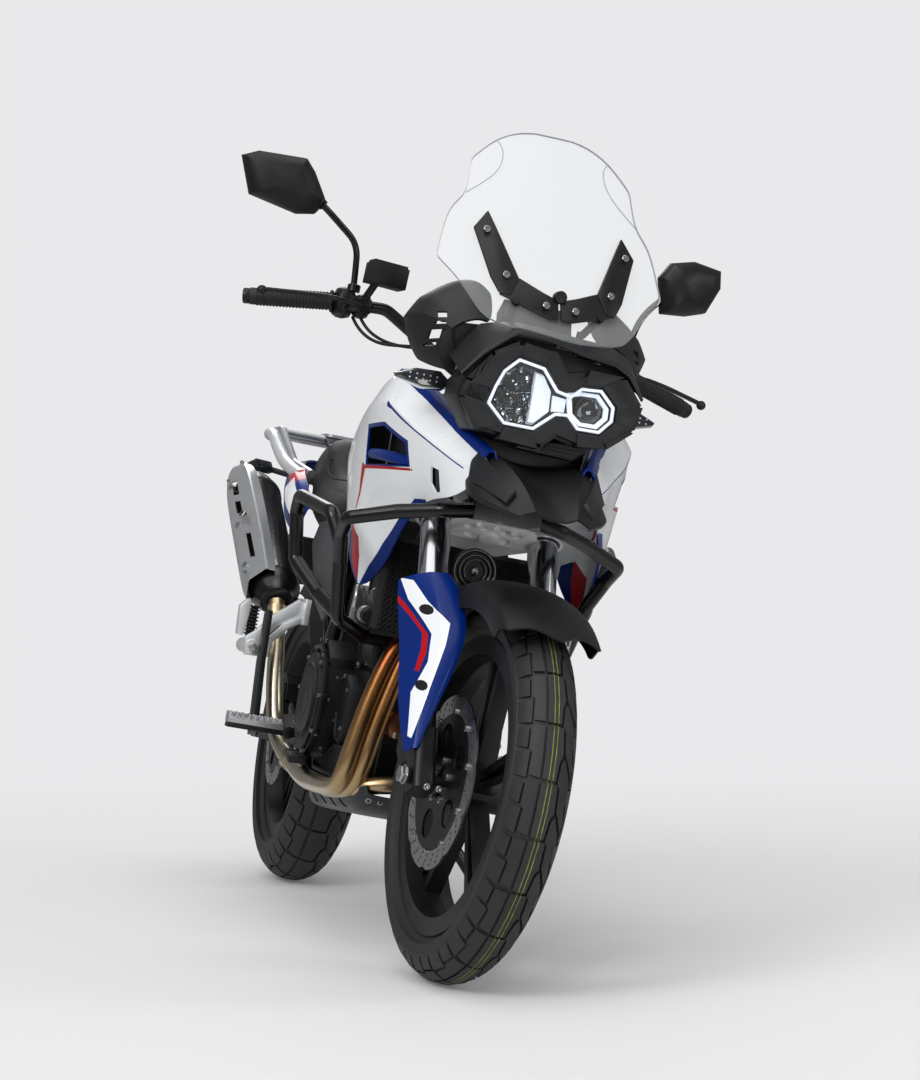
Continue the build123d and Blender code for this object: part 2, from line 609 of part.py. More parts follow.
TAIL_SECTIONS = (  # y, x and z of the upper edge, x and z of the lower edge
    (170, 128, 786, 150, 720),
    (330, 150, 832, 182, 742),
    (470, 152, 866, 186, 800),
    (600, 130, 892, 160, 842),
    (740, 84, 900, 104, 866),
)
with BuildPart() as tail_fairing:
    ruled_body(
        [(across(y), ((xt, zt), (xb, zb), (xb - PANEL, zb), (xt - PANEL, zt))) for y, xt, zt, xb, zb in TAIL_SECTIONS]
    )
    mirror(about=Plane.YZ)
    slab(Plane(origin=(0, 0, 846), x_dir=(1, 0, 0), z_dir=(0, 0, 1)), ((-104, 742), (104, 742), (70, 800), (-70, 800)), 44)
keep("tail_fairing", tail_fairing)

PLATE_THICKNESS = 3.0
PLATE_BOLT_SPACING = 140.0
PLATE_BOLT_RADIUS = 3.25
with BuildPart() as tail_light:
    block((-58, 58), (800, 826), (850, 888))
    block((-52, 52), (804, 822), (800, 850))
    slab(side_on(-9), ((806, 812), (818, 812), (944, 690), (924, 668)), 18)
    with BuildSketch(Plane(origin=(0, 934, 690), x_dir=(1, 0, 0), z_dir=(0, 0.76, 0.65))):
        Rectangle(190, 130)
        with GridLocations(PLATE_BOLT_SPACING, 1, 2, 1):
            with Locations((0, 46)):
                Circle(PLATE_BOLT_RADIUS, mode=Mode.SUBTRACT)
    extrude(amount=PLATE_THICKNESS)
    for side in (-1, 1):
        tube([(side * 50, 812, 862), (side * 164, 862, 872)], 12)
        slab(across(886), ((side * 160, 866), (side * 214, 862), (side * 222, 878), (side * 168, 890)), 40)
keep("tail_light", tail_light)

RACK_Z = 952.0
RACK_PLATE = (690, 850)  # y of the rack's flat plate
RACK_PLATE_HALF_WIDTH = 92.0
RACK_PLATE_THICKNESS = 6.0
RACK_BOLT_CIRCLE = 120.0
RACK_BOLT_RADIUS = 4.25
RAIL_TUBE = 20.0
rack_middle = (RACK_PLATE[0] + RACK_PLATE[1]) / 2
with BuildPart() as grab_rails:
    rail = [(150, 466, 858), (174, 560, 880), (190, 680, RACK_Z), (186, 800, RACK_Z), (120, 862, RACK_Z)]
    tube(rail + flipped(rail)[::-1], RAIL_TUBE, 34)
    for y in (710, 830):
        tube([(-184, y, RACK_Z), (184, y, RACK_Z)], RAIL_TUBE - 4)
    for side in (-1, 1):
        tube([(side * 60, 764, 854), (side * 60, 780, RACK_Z + RAIL_TUBE / 2)], 18)
    rack_plane = Plane(origin=(0, rack_middle, RACK_Z + RAIL_TUBE / 2 - 4), x_dir=(1, 0, 0), z_dir=(0, 0, 1))
    with BuildSketch(rack_plane):
        RectangleRounded(2 * RACK_PLATE_HALF_WIDTH, RACK_PLATE[1] - RACK_PLATE[0], 18)
        with PolarLocations(RACK_BOLT_CIRCLE / 2, 4, start_angle=45):
            Circle(RACK_BOLT_RADIUS, mode=Mode.SUBTRACT)
    extrude(amount=RACK_PLATE_THICKNESS)
keep("grab_rails", grab_rails)

# ---------------------------------------------------------------- front fairing
BEAK_SECTIONS = (  # y, half width of the rim, z of the rim, half width of the crown, z of the crown, thickness
    (-560, 92, 872, 60, 896, 8),
    (-680, 118, 838, 70, 892, 8),
    (-738, 134, 814, 60, 872, 8),
    (-796, 58, 786, 30, 798, 6),
)
with BuildPart() as beak:
    ruled_body(
        [
            (across(y), ((-rim_x, rim_z), (-crown, crown_z), (crown, crown_z), (rim_x, rim_z), (rim_x - 10, rim_z - 2), (crown - 4, crown_z - skin), (4 - crown, crown_z - skin), (10 - rim_x, rim_z - 2)))
            for y, rim_x, rim_z, crown, crown_z, skin in BEAK_SECTIONS
        ]
    )
keep("beak", beak)

HEADLIGHT_OUTLINE = ((-153, 1003), (-151, 978), (-117, 926), (-70, 925), (-16, 908), (61, 905), (108, 938), (153, 971), (171, 1018), (130, 1063), (57, 1077), (14, 1093), (-77, 1080))
HEADLIGHT_FRONT = -752.0
HEADLIGHT_BACK = -640.0
LAMPS = (  # x, z, radius of each lamp's recess
    (-46, 996, 62),
    (69, 990, 43),
)
LAMP_RECESS = 26.0
with BuildPart() as headlight:
    with BuildSketch(across(HEADLIGHT_BACK)):
        Polygon(*HEADLIGHT_OUTLINE, align=None)
    extrude(amount=HEADLIGHT_BACK - HEADLIGHT_FRONT, taper=12)
    with BuildSketch(across(HEADLIGHT_FRONT)):
        for x, z, radius in LAMPS:
            with Locations((x, z)):
                RegularPolygon(radius, 8, rotation=22.5)
    extrude(amount=-LAMP_RECESS, mode=Mode.SUBTRACT)
keep("headlight", headlight)

with BuildPart() as headlight_lens:
    with BuildSketch(across(HEADLIGHT_FRONT + LAMP_RECESS - SEAT_GAP)):
        for x, z, radius in LAMPS:
            with Locations((x, z)):
                RegularPolygon(radius - SEAT_GAP, 8, rotation=22.5)
    extrude(amount=LAMP_RECESS - 2)
keep("headlight_lens", headlight_lens)

COWL_SECTIONS = (  # y, then x and z of its top inner edge, its shoulder and its lower edge
    (-500, 96, 1190, 214, 1116, 190, 1050),
    (-560, 100, 1196, 216, 1136, 176, 1036),
    (-610, 118, 1180, 190, 1136, 140, 1030),
    (-650, 112, 1130, 146, 1100, 118, 1050),
)
with BuildPart() as cockpit_cowl:
    ruled_body(
        [
            (across(y), ((xt, zt), (xc, zc), (xb, zb), (xb - PANEL, zb), (xc - PANEL - 2, zc - 1), (xt, zt - PANEL - 1)))
            for y, xt, zt, xc, zc, xb, zb in COWL_SECTIONS
        ]
    )
    mirror(about=Plane.YZ)
keep("cockpit_cowl", cockpit_cowl)

SCREEN_THICKNESS = 4.0
SCREEN_SECTIONS = (  # z, y at the middle, half width, y at the edge
    (1098, -748, 60, -744),
    (1112, -738, 124, -728),
    (1168, -696, 168, -672),
    (1218, -660, 201, -622),
    (1293, -606, 184, -562),
    (1378, -545, 145, -520),
    (1440, -500, 113, -490),
    (1481, -470, 66, -466),
)
with BuildPart() as windscreen:
    ruled_body(
        [
            (
                Plane(origin=(0, 0, z), x_dir=(1, 0, 0), z_dir=(0, 0, 1)),
                ((-half, edge), (-half * 0.55, (mid * 2 + edge) / 3), (0, mid), (half * 0.55, (mid * 2 + edge) / 3), (half, edge), (half, edge + SCREEN_THICKNESS), (half * 0.55, (mid * 2 + edge) / 3 + SCREEN_THICKNESS), (0, mid + SCREEN_THICKNESS), (-half * 0.55, (mid * 2 + edge) / 3 + SCREEN_THICKNESS), (-half, edge + SCREEN_THICKNESS)),
            )
            for z, mid, half, edge in SCREEN_SECTIONS
        ]
    )
keep("windscreen", windscreen)

with BuildPart() as screen_bracket:
    for side in (-1, 1):
        bracket_plane = Plane(origin=(side * 92, -688, 1160), x_dir=(1, 0, 0), z_dir=(side * 0.2, -0.77, 0.6))
        slab(bracket_plane, ((-side * 34, -10), (side * 4, -10), (side * 42, 150), (side * 22, 186), (side * 2, 150)), -12)
        tube([(side * 66, -641, 1130), (side * 76, -684, 1156)], 14)
keep("screen_bracket", screen_bracket)

with BuildPart() as dashboard:
    slab(side_on(-84), ((-600, 1130), (-540, 1112), (-520, 1180), (-566, 1214)), 168)
    tube([(-40, -632, 1096), (-40, -590, 1126)], 12)
    tube([(40, -632, 1096), (40, -590, 1126)], 12)
keep("dashboard", dashboard)

with BuildPart() as front_indicators:
    for side in (-1, 1):
        slab(across(-590), ((side * 132, 1000), (side * 150, 988), (side * 232, 994), (side * 236, 1004), (side * 160, 1020)), 34)
keep("front_indicators", front_indicators)

# ---------------------------------------------------------------- guards, pegs and stands
with BuildPart() as crash_bars:
    upper = [(50, -606, 796), (110, -590, 786), (176, -540, 772), (250, -490, 748), (246, -442, 722), (232, -400, 674), (213, -370, 574), (150, -318, 548), (96, -314, 548)]
    tube(upper, CRASH_TUBE, 18)
    tube([(238, -418, 700), (262, -400, 756), (296, -256, 780), (292, -224, 752), (280, -232, 664), (240, -300, 610), (214, -366, 580)], CRASH_TUBE, 18)
    mirror(about=Plane.YZ)
keep("crash_bars", crash_bars)

with BuildPart() as skid_plate:
    slab(side_on(-114), ((-338, 250), (-330, 254), (-300, 236), (-40, 232), (120, 232), (120, 226), (-304, 228)), 228)
keep("skid_plate", skid_plate)

with BuildPart() as foot_controls:
    for side in (-1, 1):
        block((side * 112, side * 136) if side > 0 else (-136, -112), (80, 184), (300, 372))
        block((side * 136, side * 292) if side > 0 else (-292, -136), (86, 118), (330, 348))
    tube([(-128, 92, 322), (-144, 0, 290), (-186, -110, 300)], 14, 20)
    tube([(128, 92, 330), (156, 0, 316), (188, -80, 336)], 14, 20)
keep("foot_controls", foot_controls)

with BuildPart() as passenger_pegs:
    for side in (-1, 1):
        slab(side_on(side * 150), ((236, 560), (280, 594), (330, 560), (372, 500), (350, 470), (300, 520)), side * 12)
        tube([(side * 110, 250, 566), (side * 156, 262, 570)], 16)
        tube([(side * 160, 352, 490), (side * 262, 352, 490)], 24)
keep("passenger_pegs", passenger_pegs)

SWINGARM_X = (98.0, 124.0)
SWINGARM_BRIDGE_Y = (232, 296)
with BuildPart() as swingarm:
    for side in (-1, 1):
        slab(side_on(side * SWINGARM_X[0]), ((SWINGARM_BRIDGE_Y[0], 316), (SWINGARM_BRIDGE_Y[0], 358), (330, 366), (rear_axle.Y + 44, rear_axle.Z + 26), (rear_axle.Y + 50, rear_axle.Z - 24), (330, 304)), side * (SWINGARM_X[1] - SWINGARM_X[0]))
        slab(side_on(side * 40), ((PIVOT[0], PIVOT[1] - 16), (PIVOT[0], PIVOT[1] + 16), (240, 356), (240, 318)), side * 34)
    frame_inside = FRAME_HALF_WIDTH - FRAME_TUBE / 2 - SEAT_GAP
    tube([(-frame_inside, PIVOT[0], PIVOT[1]), (frame_inside, PIVOT[0], PIVOT[1])], 38)
    block((-SWINGARM_X[0] - 1, SWINGARM_X[0] + 1), SWINGARM_BRIDGE_Y, (318, 356))
    with BuildSketch(Plane(origin=rear_axle, x_dir=(0, 1, 0), z_dir=(1, 0, 0))):
        Circle(AXLE_RADIUS)
    extrude(amount=SWINGARM_X[1] + 14, both=True)
keep("swingarm", swingarm)

with BuildPart() as shock:
    tube([(0, 262, 350), (0, 214, 640)], 30)
    tube([(0, 255, 392), (0, 221, 600)], 62)
keep("shock", shock)

CHAIN_WIDTH = 16.0
CHAIN_DEPTH = 12.0
CHAIN_FIT = 0.8
with BuildPart() as drive_chain:
    chain_plane = Plane(origin=(SPROCKET_X, 0, 0), x_dir=(0, 1, 0), z_dir=(1, 0, 0))
    for depth, mode in ((CHAIN_DEPTH, Mode.ADD), (0.0, Mode.SUBTRACT)):
        with BuildSketch(chain_plane):
            with Locations((FRONT_SPROCKET[0], FRONT_SPROCKET[1])):
                Circle(FRONT_SPROCKET[2] + CHAIN_FIT + depth)
            with Locations((rear_axle.Y, rear_axle.Z)):
                Circle(SPROCKET_RADIUS + CHAIN_FIT + depth)
            make_hull()
        extrude(amount=CHAIN_WIDTH / 2, both=True, mode=mode)
keep("drive_chain", drive_chain)

HUGGER_GAP = 24.0
with BuildPart() as rear_hugger:
    hugger = rear_radius + HUGGER_GAP
    with BuildSketch(Plane(origin=rear_axle, x_dir=(1, 0, 0), z_dir=(0, 1, 0))):
        Polygon((-84, -hugger + 40), (-70, -hugger - PANEL), (66, -hugger - PANEL), (66, -hugger), (-67, -hugger), (-80, -hugger + 40), align=None)
    revolve(axis=Axis(rear_axle, (1, 0, 0)), revolution_arc=82)
    tab_y = rear_axle.Y - 303
    tube([(-SWINGARM_X[0], tab_y, 350), (-81, tab_y - 8, 352)], 12)
    tube([(SWINGARM_X[0], tab_y, 350), (65, tab_y - 28, 366)], 12)
keep("rear_hugger", rear_hugger)

REAR_CALIPER = ((-115, 72), (-75, 52), (-21, 84), (-25, 126), (-75, 126), (-111, 106))  # y and z from the axle
REAR_CALIPER_BRACKET = ((-115, 26), (-55, 26), (-25, 106), (-95, 106))
with BuildPart() as rear_caliper:
    slab(side_on(REAR_DISC_X), [(rear_axle.Y + y, rear_axle.Z + z) for y, z in REAR_CALIPER], 22, both=True)
    with BuildSketch(side_on(REAR_DISC_X)):
        with Locations((rear_axle.Y, rear_axle.Z)):
            Circle(REAR_DISC_RADIUS + 6)
    extrude(amount=DISC_THICKNESS / 2 + CALIPER_SLOT, both=True, mode=Mode.SUBTRACT)
    slab(side_on(-SWINGARM_X[0]), [(rear_axle.Y + y, rear_axle.Z + z) for y, z in REAR_CALIPER_BRACKET], 14)
keep("rear_caliper", rear_caliper)

# ---------------------------------------------------------------- standing on the floor
def crown_low(centre, axle_direction, radius, width):
    """Height of a tyre's lowest point, from where its centre and axle are."""
    ring = radius - width / 2
    return centre.Z - ring * sqrt(1 - axle_direction.Z**2) - width / 2


def leaned(vector, pitch):
    """A direction or a point after the machine leans and then pitches."""
    return vector.rotate(Axis.Y, LEAN_ANGLE).rotate(Axis.X, pitch)


def steer_point(point):
    """A point of the steered pieces after the bars turn to their rest angle."""
    base = steering_axis.position
    return base + (point - base).rotate(Axis((0, 0, 0), steering_axis.direction), STEER_ANGLE)


front_centre = steer_point(front_axle)
front_direction = Vector(1, 0, 0).rotate(Axis((0, 0, 0), steering_axis.direction), STEER_ANGLE)
pitch = 0.0
for _ in range(8):
    low_front = crown_low(leaned(front_centre, pitch), leaned(front_direction, pitch), front_radius, FRONT_TYRE_WIDTH)
    low_rear = crown_low(leaned(rear_axle, pitch), leaned(Vector(1, 0, 0), pitch), rear_radius, REAR_TYRE_WIDTH)
    pitch += degrees(atan2(low_front - low_rear, WHEELBASE))
lift = -low_rear


def placed(shape):
    """The shape leaned onto the stand, levelled and lifted onto the floor."""
    return shape.rotate(Axis.Y, LEAN_ANGLE).rotate(Axis.X, pitch).translate((0, 0, lift))


def floor_point(x, y, z):
    """The point of the upright machine that ends up at these coordinates over the floor."""
    return (Vector(x, y, z) - Vector(0, 0, lift)).rotate(Axis.X, -pitch).rotate(Axis.Y, -LEAN_ANGLE)


floor_up = floor_point(0, 0, 1) - floor_point(0, 0, 0)
floor_left = floor_point(1, 0, 0) - floor_point(0, 0, 0)

# ---------------------------------------------------------------- side stand
STAND_PIVOT = Vector(142, 172, 244)
STAND_FOOT = (306, 132)  # x and y of the foot's middle on the floor
STAND_FOLDED = Vector(0.12, 0.98, 0.12)  # where the leg points when it is up
STAND_TUBE = 24.0
STAND_EYE = 20.0
STAND_PIN = 6.0
STAND_PIN_FIT = 0.1
STAND_THICKNESS = 16.0
foot_top = floor_point(STAND_FOOT[0], STAND_FOOT[1], 8)
stand_down = (foot_top - STAND_PIVOT).normalized()
stand_hinge = stand_down.cross(STAND_FOLDED.normalized()).normalized()
hinge_plane = Plane(origin=STAND_PIVOT, x_dir=stand_down, z_dir=stand_hinge)
with BuildPart() as side_stand:
    with BuildSketch(hinge_plane):
        Circle(STAND_EYE)
        with Locations((STAND_EYE, 0)):
            Rectangle(2 * STAND_EYE, STAND_TUBE)
    extrude(amount=STAND_THICKNESS / 2, both=True)
    tube([STAND_PIVOT + stand_down * 34, foot_top], STAND_TUBE)
    with BuildSketch(Plane(origin=floor_point(STAND_FOOT[0], STAND_FOOT[1], 0), x_dir=floor_left, z_dir=floor_up)):
        RectangleRounded(46, 76, 16)
    extrude(amount=8)
    with BuildSketch(hinge_plane):
        Circle(STAND_PIN + STAND_PIN_FIT)
    extrude(amount=STAND_THICKNESS, both=True, mode=Mode.SUBTRACT)
    under_floor = Plane(origin=floor_point(STAND_FOOT[0], STAND_FOOT[1], 0), x_dir=floor_left, z_dir=-floor_up)
    with BuildSketch(under_floor):
        Rectangle(200, 200)
    extrude(amount=60, mode=Mode.SUBTRACT)
keep("side_stand", side_stand)

with BuildPart() as stand_bracket:
    with BuildSketch(hinge_plane):
        Circle(STAND_PIN)
    extrude(amount=STAND_THICKNESS / 2 + 6, both=True)
    with BuildSketch(hinge_plane.offset(-STAND_THICKNESS / 2 - SEAT_GAP)):
        Circle(STAND_EYE)
    extrude(amount=-12)
    tube([STAND_PIVOT - stand_hinge * 28, (108, 160, 262)], 20)
with BuildPart() as main_frame_with_bracket:
    add(pieces["frame"].part)
    add(stand_bracket.part)
keep("frame", main_frame_with_bracket)

# ---------------------------------------------------------------- fitting pieces to their neighbours
FITS = (  # piece, then the neighbours it is cut to fit
    ("fairing_stay", ("frame",)),
    ("grips", ("handlebar",)),
    ("hand_controls", ("handlebar", "grips")),
    ("mirrors", ("hand_controls", "handlebar")),
    ("grab_rails", ("subframe",)),
    ("rear_hugger", ("swingarm",)),
    ("front_caliper", ("fork_lowers",)),
    ("skid_plate", ("exhaust_headers", "frame")),
    ("handlebar", ("triple_clamps",)),
    ("beak", ("fairing_stay",)),
    ("shrouds", ("beak", "fuel_tank", "frame")),
    ("headlight", ("fairing_stay",)),
    ("cockpit_cowl", ("headlight", "fairing_stay")),
    ("crash_bars", ("fairing_stay", "frame")),
    ("dashboard", ("fairing_stay",)),
    ("exhaust_headers", ("engine", "muffler")),
    ("muffler_shield", ("muffler",)),
    ("foot_controls", ("engine", "frame")),
    ("front_indicators", ("fairing_stay",)),
    ("screen_bracket", ("fairing_stay", "windscreen")),
    ("front_fender", ("fork_tubes", "fork_lowers", "fork_guards")),
    ("fork_guards", ("fork_lowers",)),
    ("fuel_tank", ("frame",)),
    ("seat", ("fuel_tank", "subframe")),
    ("side_panels", ("frame", "tail_fairing", "subframe")),
    ("tail_fairing", ("subframe", "grab_rails")),
    ("subframe", ("frame",)),
    ("radiator", ("frame",)),
    ("shock", ("swingarm", "frame")),
    ("passenger_pegs", ("subframe",)),
    ("rear_caliper", ("swingarm",)),
    ("tail_light", ("tail_fairing",)),
)
for name, neighbours in FITS:
    with BuildPart() as fitted:
        add(pieces[name].part)
        for neighbour in neighbours:
            add(pieces[neighbour].part, mode=Mode.SUBTRACT)
    pieces[name] = fitted

# ---------------------------------------------------------------- export
os.makedirs("parts", exist_ok=True)
finished = {}
for name, piece in pieces.items():
    shape = piece.part
    if name in steered:
        shape = shape.rotate(steering_axis, STEER_ANGLE)
    finished[name] = placed(shape)
boxes = [shape.bounding_box() for shape in finished.values()]
middle_x = (min(box.min.X for box in boxes) + max(box.max.X for box in boxes)) / 2
middle_y = (min(box.min.Y for box in boxes) + max(box.max.Y for box in boxes)) / 2
floor = min(box.min.Z for box in boxes)
for name, shape in finished.items():
    shape = shape.translate((-middle_x, -middle_y, -floor))
    shape.label = name
    export_step(shape, f"parts/{name}.step")
print("pitch", pitch, "lift", lift, "middle", middle_x, middle_y, floor)
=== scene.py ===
# %% [markdown]
# # An adventure motorcycle, parked on its side stand
#
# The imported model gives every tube, wheel and bracket at its real place. This lesson dresses it:
# painted panels, tyres with tread, lamps, a seat and controls are modelled over the frame, and every
# part that stays gets a finish of its own.

# %% Load the frame and measure it
import json
import bpy
from math import asin, atan2, cos, degrees, pi, radians, sin, sqrt, tan

from mathutils import Matrix, Vector

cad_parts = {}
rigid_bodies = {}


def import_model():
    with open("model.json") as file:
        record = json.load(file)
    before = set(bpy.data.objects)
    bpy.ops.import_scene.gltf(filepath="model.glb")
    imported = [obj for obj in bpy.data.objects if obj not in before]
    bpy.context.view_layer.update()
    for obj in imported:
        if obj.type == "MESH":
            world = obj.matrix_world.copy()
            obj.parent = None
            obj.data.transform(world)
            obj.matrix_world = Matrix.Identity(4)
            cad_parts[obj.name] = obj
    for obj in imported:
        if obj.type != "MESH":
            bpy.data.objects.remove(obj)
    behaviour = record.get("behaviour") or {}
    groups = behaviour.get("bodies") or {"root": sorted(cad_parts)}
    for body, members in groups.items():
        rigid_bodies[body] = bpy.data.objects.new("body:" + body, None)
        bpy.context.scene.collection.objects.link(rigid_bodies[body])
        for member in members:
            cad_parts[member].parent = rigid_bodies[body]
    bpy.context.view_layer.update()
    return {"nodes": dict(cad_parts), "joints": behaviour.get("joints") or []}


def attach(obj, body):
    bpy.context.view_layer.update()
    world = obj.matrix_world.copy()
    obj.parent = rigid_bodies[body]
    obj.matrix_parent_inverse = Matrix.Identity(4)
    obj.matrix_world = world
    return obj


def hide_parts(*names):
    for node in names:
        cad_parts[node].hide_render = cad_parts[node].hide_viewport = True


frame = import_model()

# %% [markdown]
# ## Working on an upright machine
#
# The parked machine leans on its stand with the bars turned, and every measurement would be awkward
# there. So each piece is drawn in millimetres on an upright machine that looks straight ahead, with
# -Y forward, +X to the rider's left and the floor at zero, and is then leaned, and turned with the
# bars if it is carried by them. Both moves are read from the frame's own hinges.

# %% The two moves, from the hinges
RAKE = radians(26.5)
HALF_WHEELBASE = 715
FRONT_RADIUS, REAR_RADIUS = 329.3, 313.9  # of the tyres, in millimetres
FRONT_AXLE = Vector((0, -HALF_WHEELBASE, FRONT_RADIUS))
REAR_AXLE = Vector((0, HALF_WHEELBASE, REAR_RADIUS))
hinges = {joint["name"]: joint for joint in frame["joints"]}
to_left = Vector(hinges["rear_wheel_spin"]["axis"]).normalized()
up_the_fork = Vector(hinges["steering_turn"]["axis"]).normalized()
square_to_fork = up_the_fork.cross(to_left).normalized()
to_back = up_the_fork * sin(RAKE) + square_to_fork * cos(RAKE)
to_top = up_the_fork * cos(RAKE) - square_to_fork * sin(RAKE)

leaned = Matrix((to_left, to_back, to_top)).transposed().to_4x4()
leaned.translation = Vector(hinges["rear_wheel_spin"]["pos_m"]) - leaned.to_3x3() @ (REAR_AXLE / 1000)
leaned = leaned @ Matrix.Diagonal((0.001, 0.001, 0.001, 1))

steer_pin = Vector(hinges["steering_turn"]["pos_m"])
front_left = Vector(hinges["front_wheel_spin"]["axis"]).normalized()
steer_angle = atan2(to_left.cross(front_left).dot(up_the_fork), to_left.dot(front_left))
turned = (
    Matrix.Translation(steer_pin)
    @ Matrix.Rotation(steer_angle, 4, up_the_fork)
    @ Matrix.Translation(-steer_pin)
    @ leaned
)
print("lean", round(degrees(asin(to_top.x)), 2), "bars turned", round(degrees(steer_angle), 2), "degrees")

# %% [markdown]
# ## Camera first
#
# The view is low and far away with a long lens, from ahead and to the machine's right, so that the
# front wheel looms and the body stacks up behind the lamps.

# %% Camera
VIEW_POINT = Vector((-1.1023, -5.3469, 0.7646))
VIEW_YAW = radians(13.802)
VIEW_PITCH = radians(0.278)
under_middle = leaned @ Vector((0, 0, 0))
bpy.ops.object.camera_add(
    location=under_middle + VIEW_POINT,
    rotation=(pi / 2 - VIEW_PITCH, 0, -VIEW_YAW),
)
camera = bpy.context.object
camera.data.sensor_width = 36
camera.data.lens = 94.72
bpy.context.scene.camera = camera

# %% [markdown]
# ## A pale studio
#
# One flat sheet makes the floor and fades into the backdrop further out, so no horizon line shows. Five
# soft lamps, a wide sun and a bright surrounding give the long soft highlights that tell gloss paint from matt
# plastic.

# %% One function turns colours to linear light, one adds a shader node
def linear(hex_code):
    """The linear RGBA of an sRGB colour such as '#20356b'."""
    values = [int(hex_code[start : start + 2], 16) / 255 for start in (1, 3, 5)]
    return tuple(v / 12.92 if v <= 0.04045 else ((v + 0.055) / 1.055) ** 2.4 for v in values) + (1.0,)


def add_node(material, kind, inputs=None, **settings):
    """Adds a node, sets its settings, and fills each input from a value or another node's socket."""
    node = material.node_tree.nodes.new(kind)
    for name, value in settings.items():
        setattr(node, name, value)
    for name, value in (inputs or {}).items():
        if isinstance(value, bpy.types.NodeSocket):
            material.node_tree.links.new(value, node.inputs[name])
        else:
            node.inputs[name].default_value = value
    return node


def new_material(name, shader):
    """An empty node material whose surface is the shader that the given function adds."""
    material = bpy.data.materials.new(name)
    material.use_nodes = True
    material.node_tree.nodes.clear()
    surface = shader(material)
    add_node(material, "ShaderNodeOutputMaterial", {"Surface": surface.outputs[0]})
    return material


# %% Floor, lights and surroundings
def studio_paper(material):
    """Matt paper near the machine that fades into the lit backdrop further out."""
    where = add_node(material, "ShaderNodeTexCoord")
    fibre = add_node(
        material, "ShaderNodeTexNoise", {"Vector": where.outputs["Object"], "Scale": 40.0, "Detail": 4.0}
    )
    shade = add_node(
        material,
        "ShaderNodeMix",
        {"Factor": fibre.outputs["Fac"], "A": linear("#dedede"), "B": linear("#e0e0e0")},
        data_type="RGBA",
    )
    matt = add_node(
        material, "ShaderNodeBsdfPrincipled", {"Base Color": shade.outputs["Result"], "Roughness": 0.9}
    )
    looked_at = add_node(material, "ShaderNodeLightPath").outputs["Is Camera Ray"]
    glow = add_node(material, "ShaderNodeMapRange", {"Value": looked_at, "To Min": 0.3, "To Max": 1.0})
    lit = add_node(material, "ShaderNodeEmission", {"Color": linear("#e9e9eb"), "Strength": glow.outputs["Result"]})
    away = add_node(material, "ShaderNodeVectorMath", {0: where.outputs["Object"]}, operation="LENGTH")
    share = add_node(
        material,
        "ShaderNodeMapRange",
        {"Value": away.outputs["Value"], "From Min": 0.9, "From Max": 3.6, "To Min": 0.12, "To Max": 1.0},
        interpolation_type="SMOOTHSTEP",
    )
    mix = add_node(material, "ShaderNodeMixShader", {0: share.outputs["Result"]})
    material.node_tree.links.new(matt.outputs[0], mix.inputs[1])
    material.node_tree.links.new(lit.outputs[0], mix.inputs[2])
    return mix


def deselect_all():
    """Clears the selection, because operators act on everything that is selected."""
    if bpy.context.object and bpy.context.object.mode != "OBJECT":
        bpy.ops.object.mode_set(mode="OBJECT")
    bpy.ops.object.select_all(action="DESELECT")


deselect_all()
bpy.ops.mesh.primitive_plane_add(size=40, location=(0, 0, 0))
floor = bpy.context.object
floor.name = "studio_floor"
floor.data.materials.append(new_material("matt_studio_paper", studio_paper))

STUDIO_LIGHTS = (  # name, place, what it looks at, size, watts
    ("key", (-3.6, -3.4, 3.6), (0, -0.4, 0.7), 1.8, 100),
    ("fill", (3.8, -2.6, 2.4), (0, -0.3, 0.7), 1.4, 42),
    ("back", (0.4, 4.2, 3.4), (0, 0.3, 0.9), 2.0, 45),
    ("top", (0.0, 0.0, 4.4), (0, 0, 0), 2.4, 30),
    ("low", (0.5, -3.6, 0.3), (0, -0.4, 0.75), 1.2, 24),
)
# a very wide, soft sun evens the floor out, so that it meets the backdrop at nearly the same tone
bpy.ops.object.light_add(type="SUN", location=(-2, -3, 5))
even_light = bpy.context.object
even_light.name = "studio_even"
even_light.data.energy = 1.5
even_light.data.angle = radians(70)
even_light.rotation_euler = (radians(28), radians(-20), 0)
for lamp_name, place, target, size, watts in STUDIO_LIGHTS:
    bpy.ops.object.light_add(type="AREA", location=place)
    lamp = bpy.context.object
    lamp.name = "studio_" + lamp_name
    lamp.data.size = size
    lamp.data.energy = watts
    lamp.rotation_euler = (Vector(target) - Vector(place)).to_track_quat("-Z", "Y").to_euler()

surroundings = bpy.data.worlds.new("pale_studio")
bpy.context.scene.world = surroundings
surroundings.use_nodes = True
backdrop = surroundings.node_tree.nodes["Background"]
backdrop.inputs["Color"].default_value = linear("#e9e9eb")
# the backdrop is seen at full brightness but lights the machine less, as in a dark room with a lit paper
seen_directly = surroundings.node_tree.nodes.new("ShaderNodeLightPath")
brightness = surroundings.node_tree.nodes.new("ShaderNodeMapRange")
surroundings.node_tree.links.new(seen_directly.outputs["Is Camera Ray"], brightness.inputs["Value"])
brightness.inputs["To Min"].default_value = 0.3
surroundings.node_tree.links.new(brightness.outputs["Result"], backdrop.inputs["Strength"])
bpy.context.scene.view_settings.view_transform = "Standard"

# %% [markdown]
# ## Finishes
#
# Most finishes on a motorcycle are one of a few processes: moulded plastic, lacquer, powder coat,
# blasted or polished metal, rubber. One function mixes them from real numbers: the colour, the gloss,
# the width of the grain in millimetres, and how deep the grain feels. Anything with a pattern of its
# own is built by hand further down.

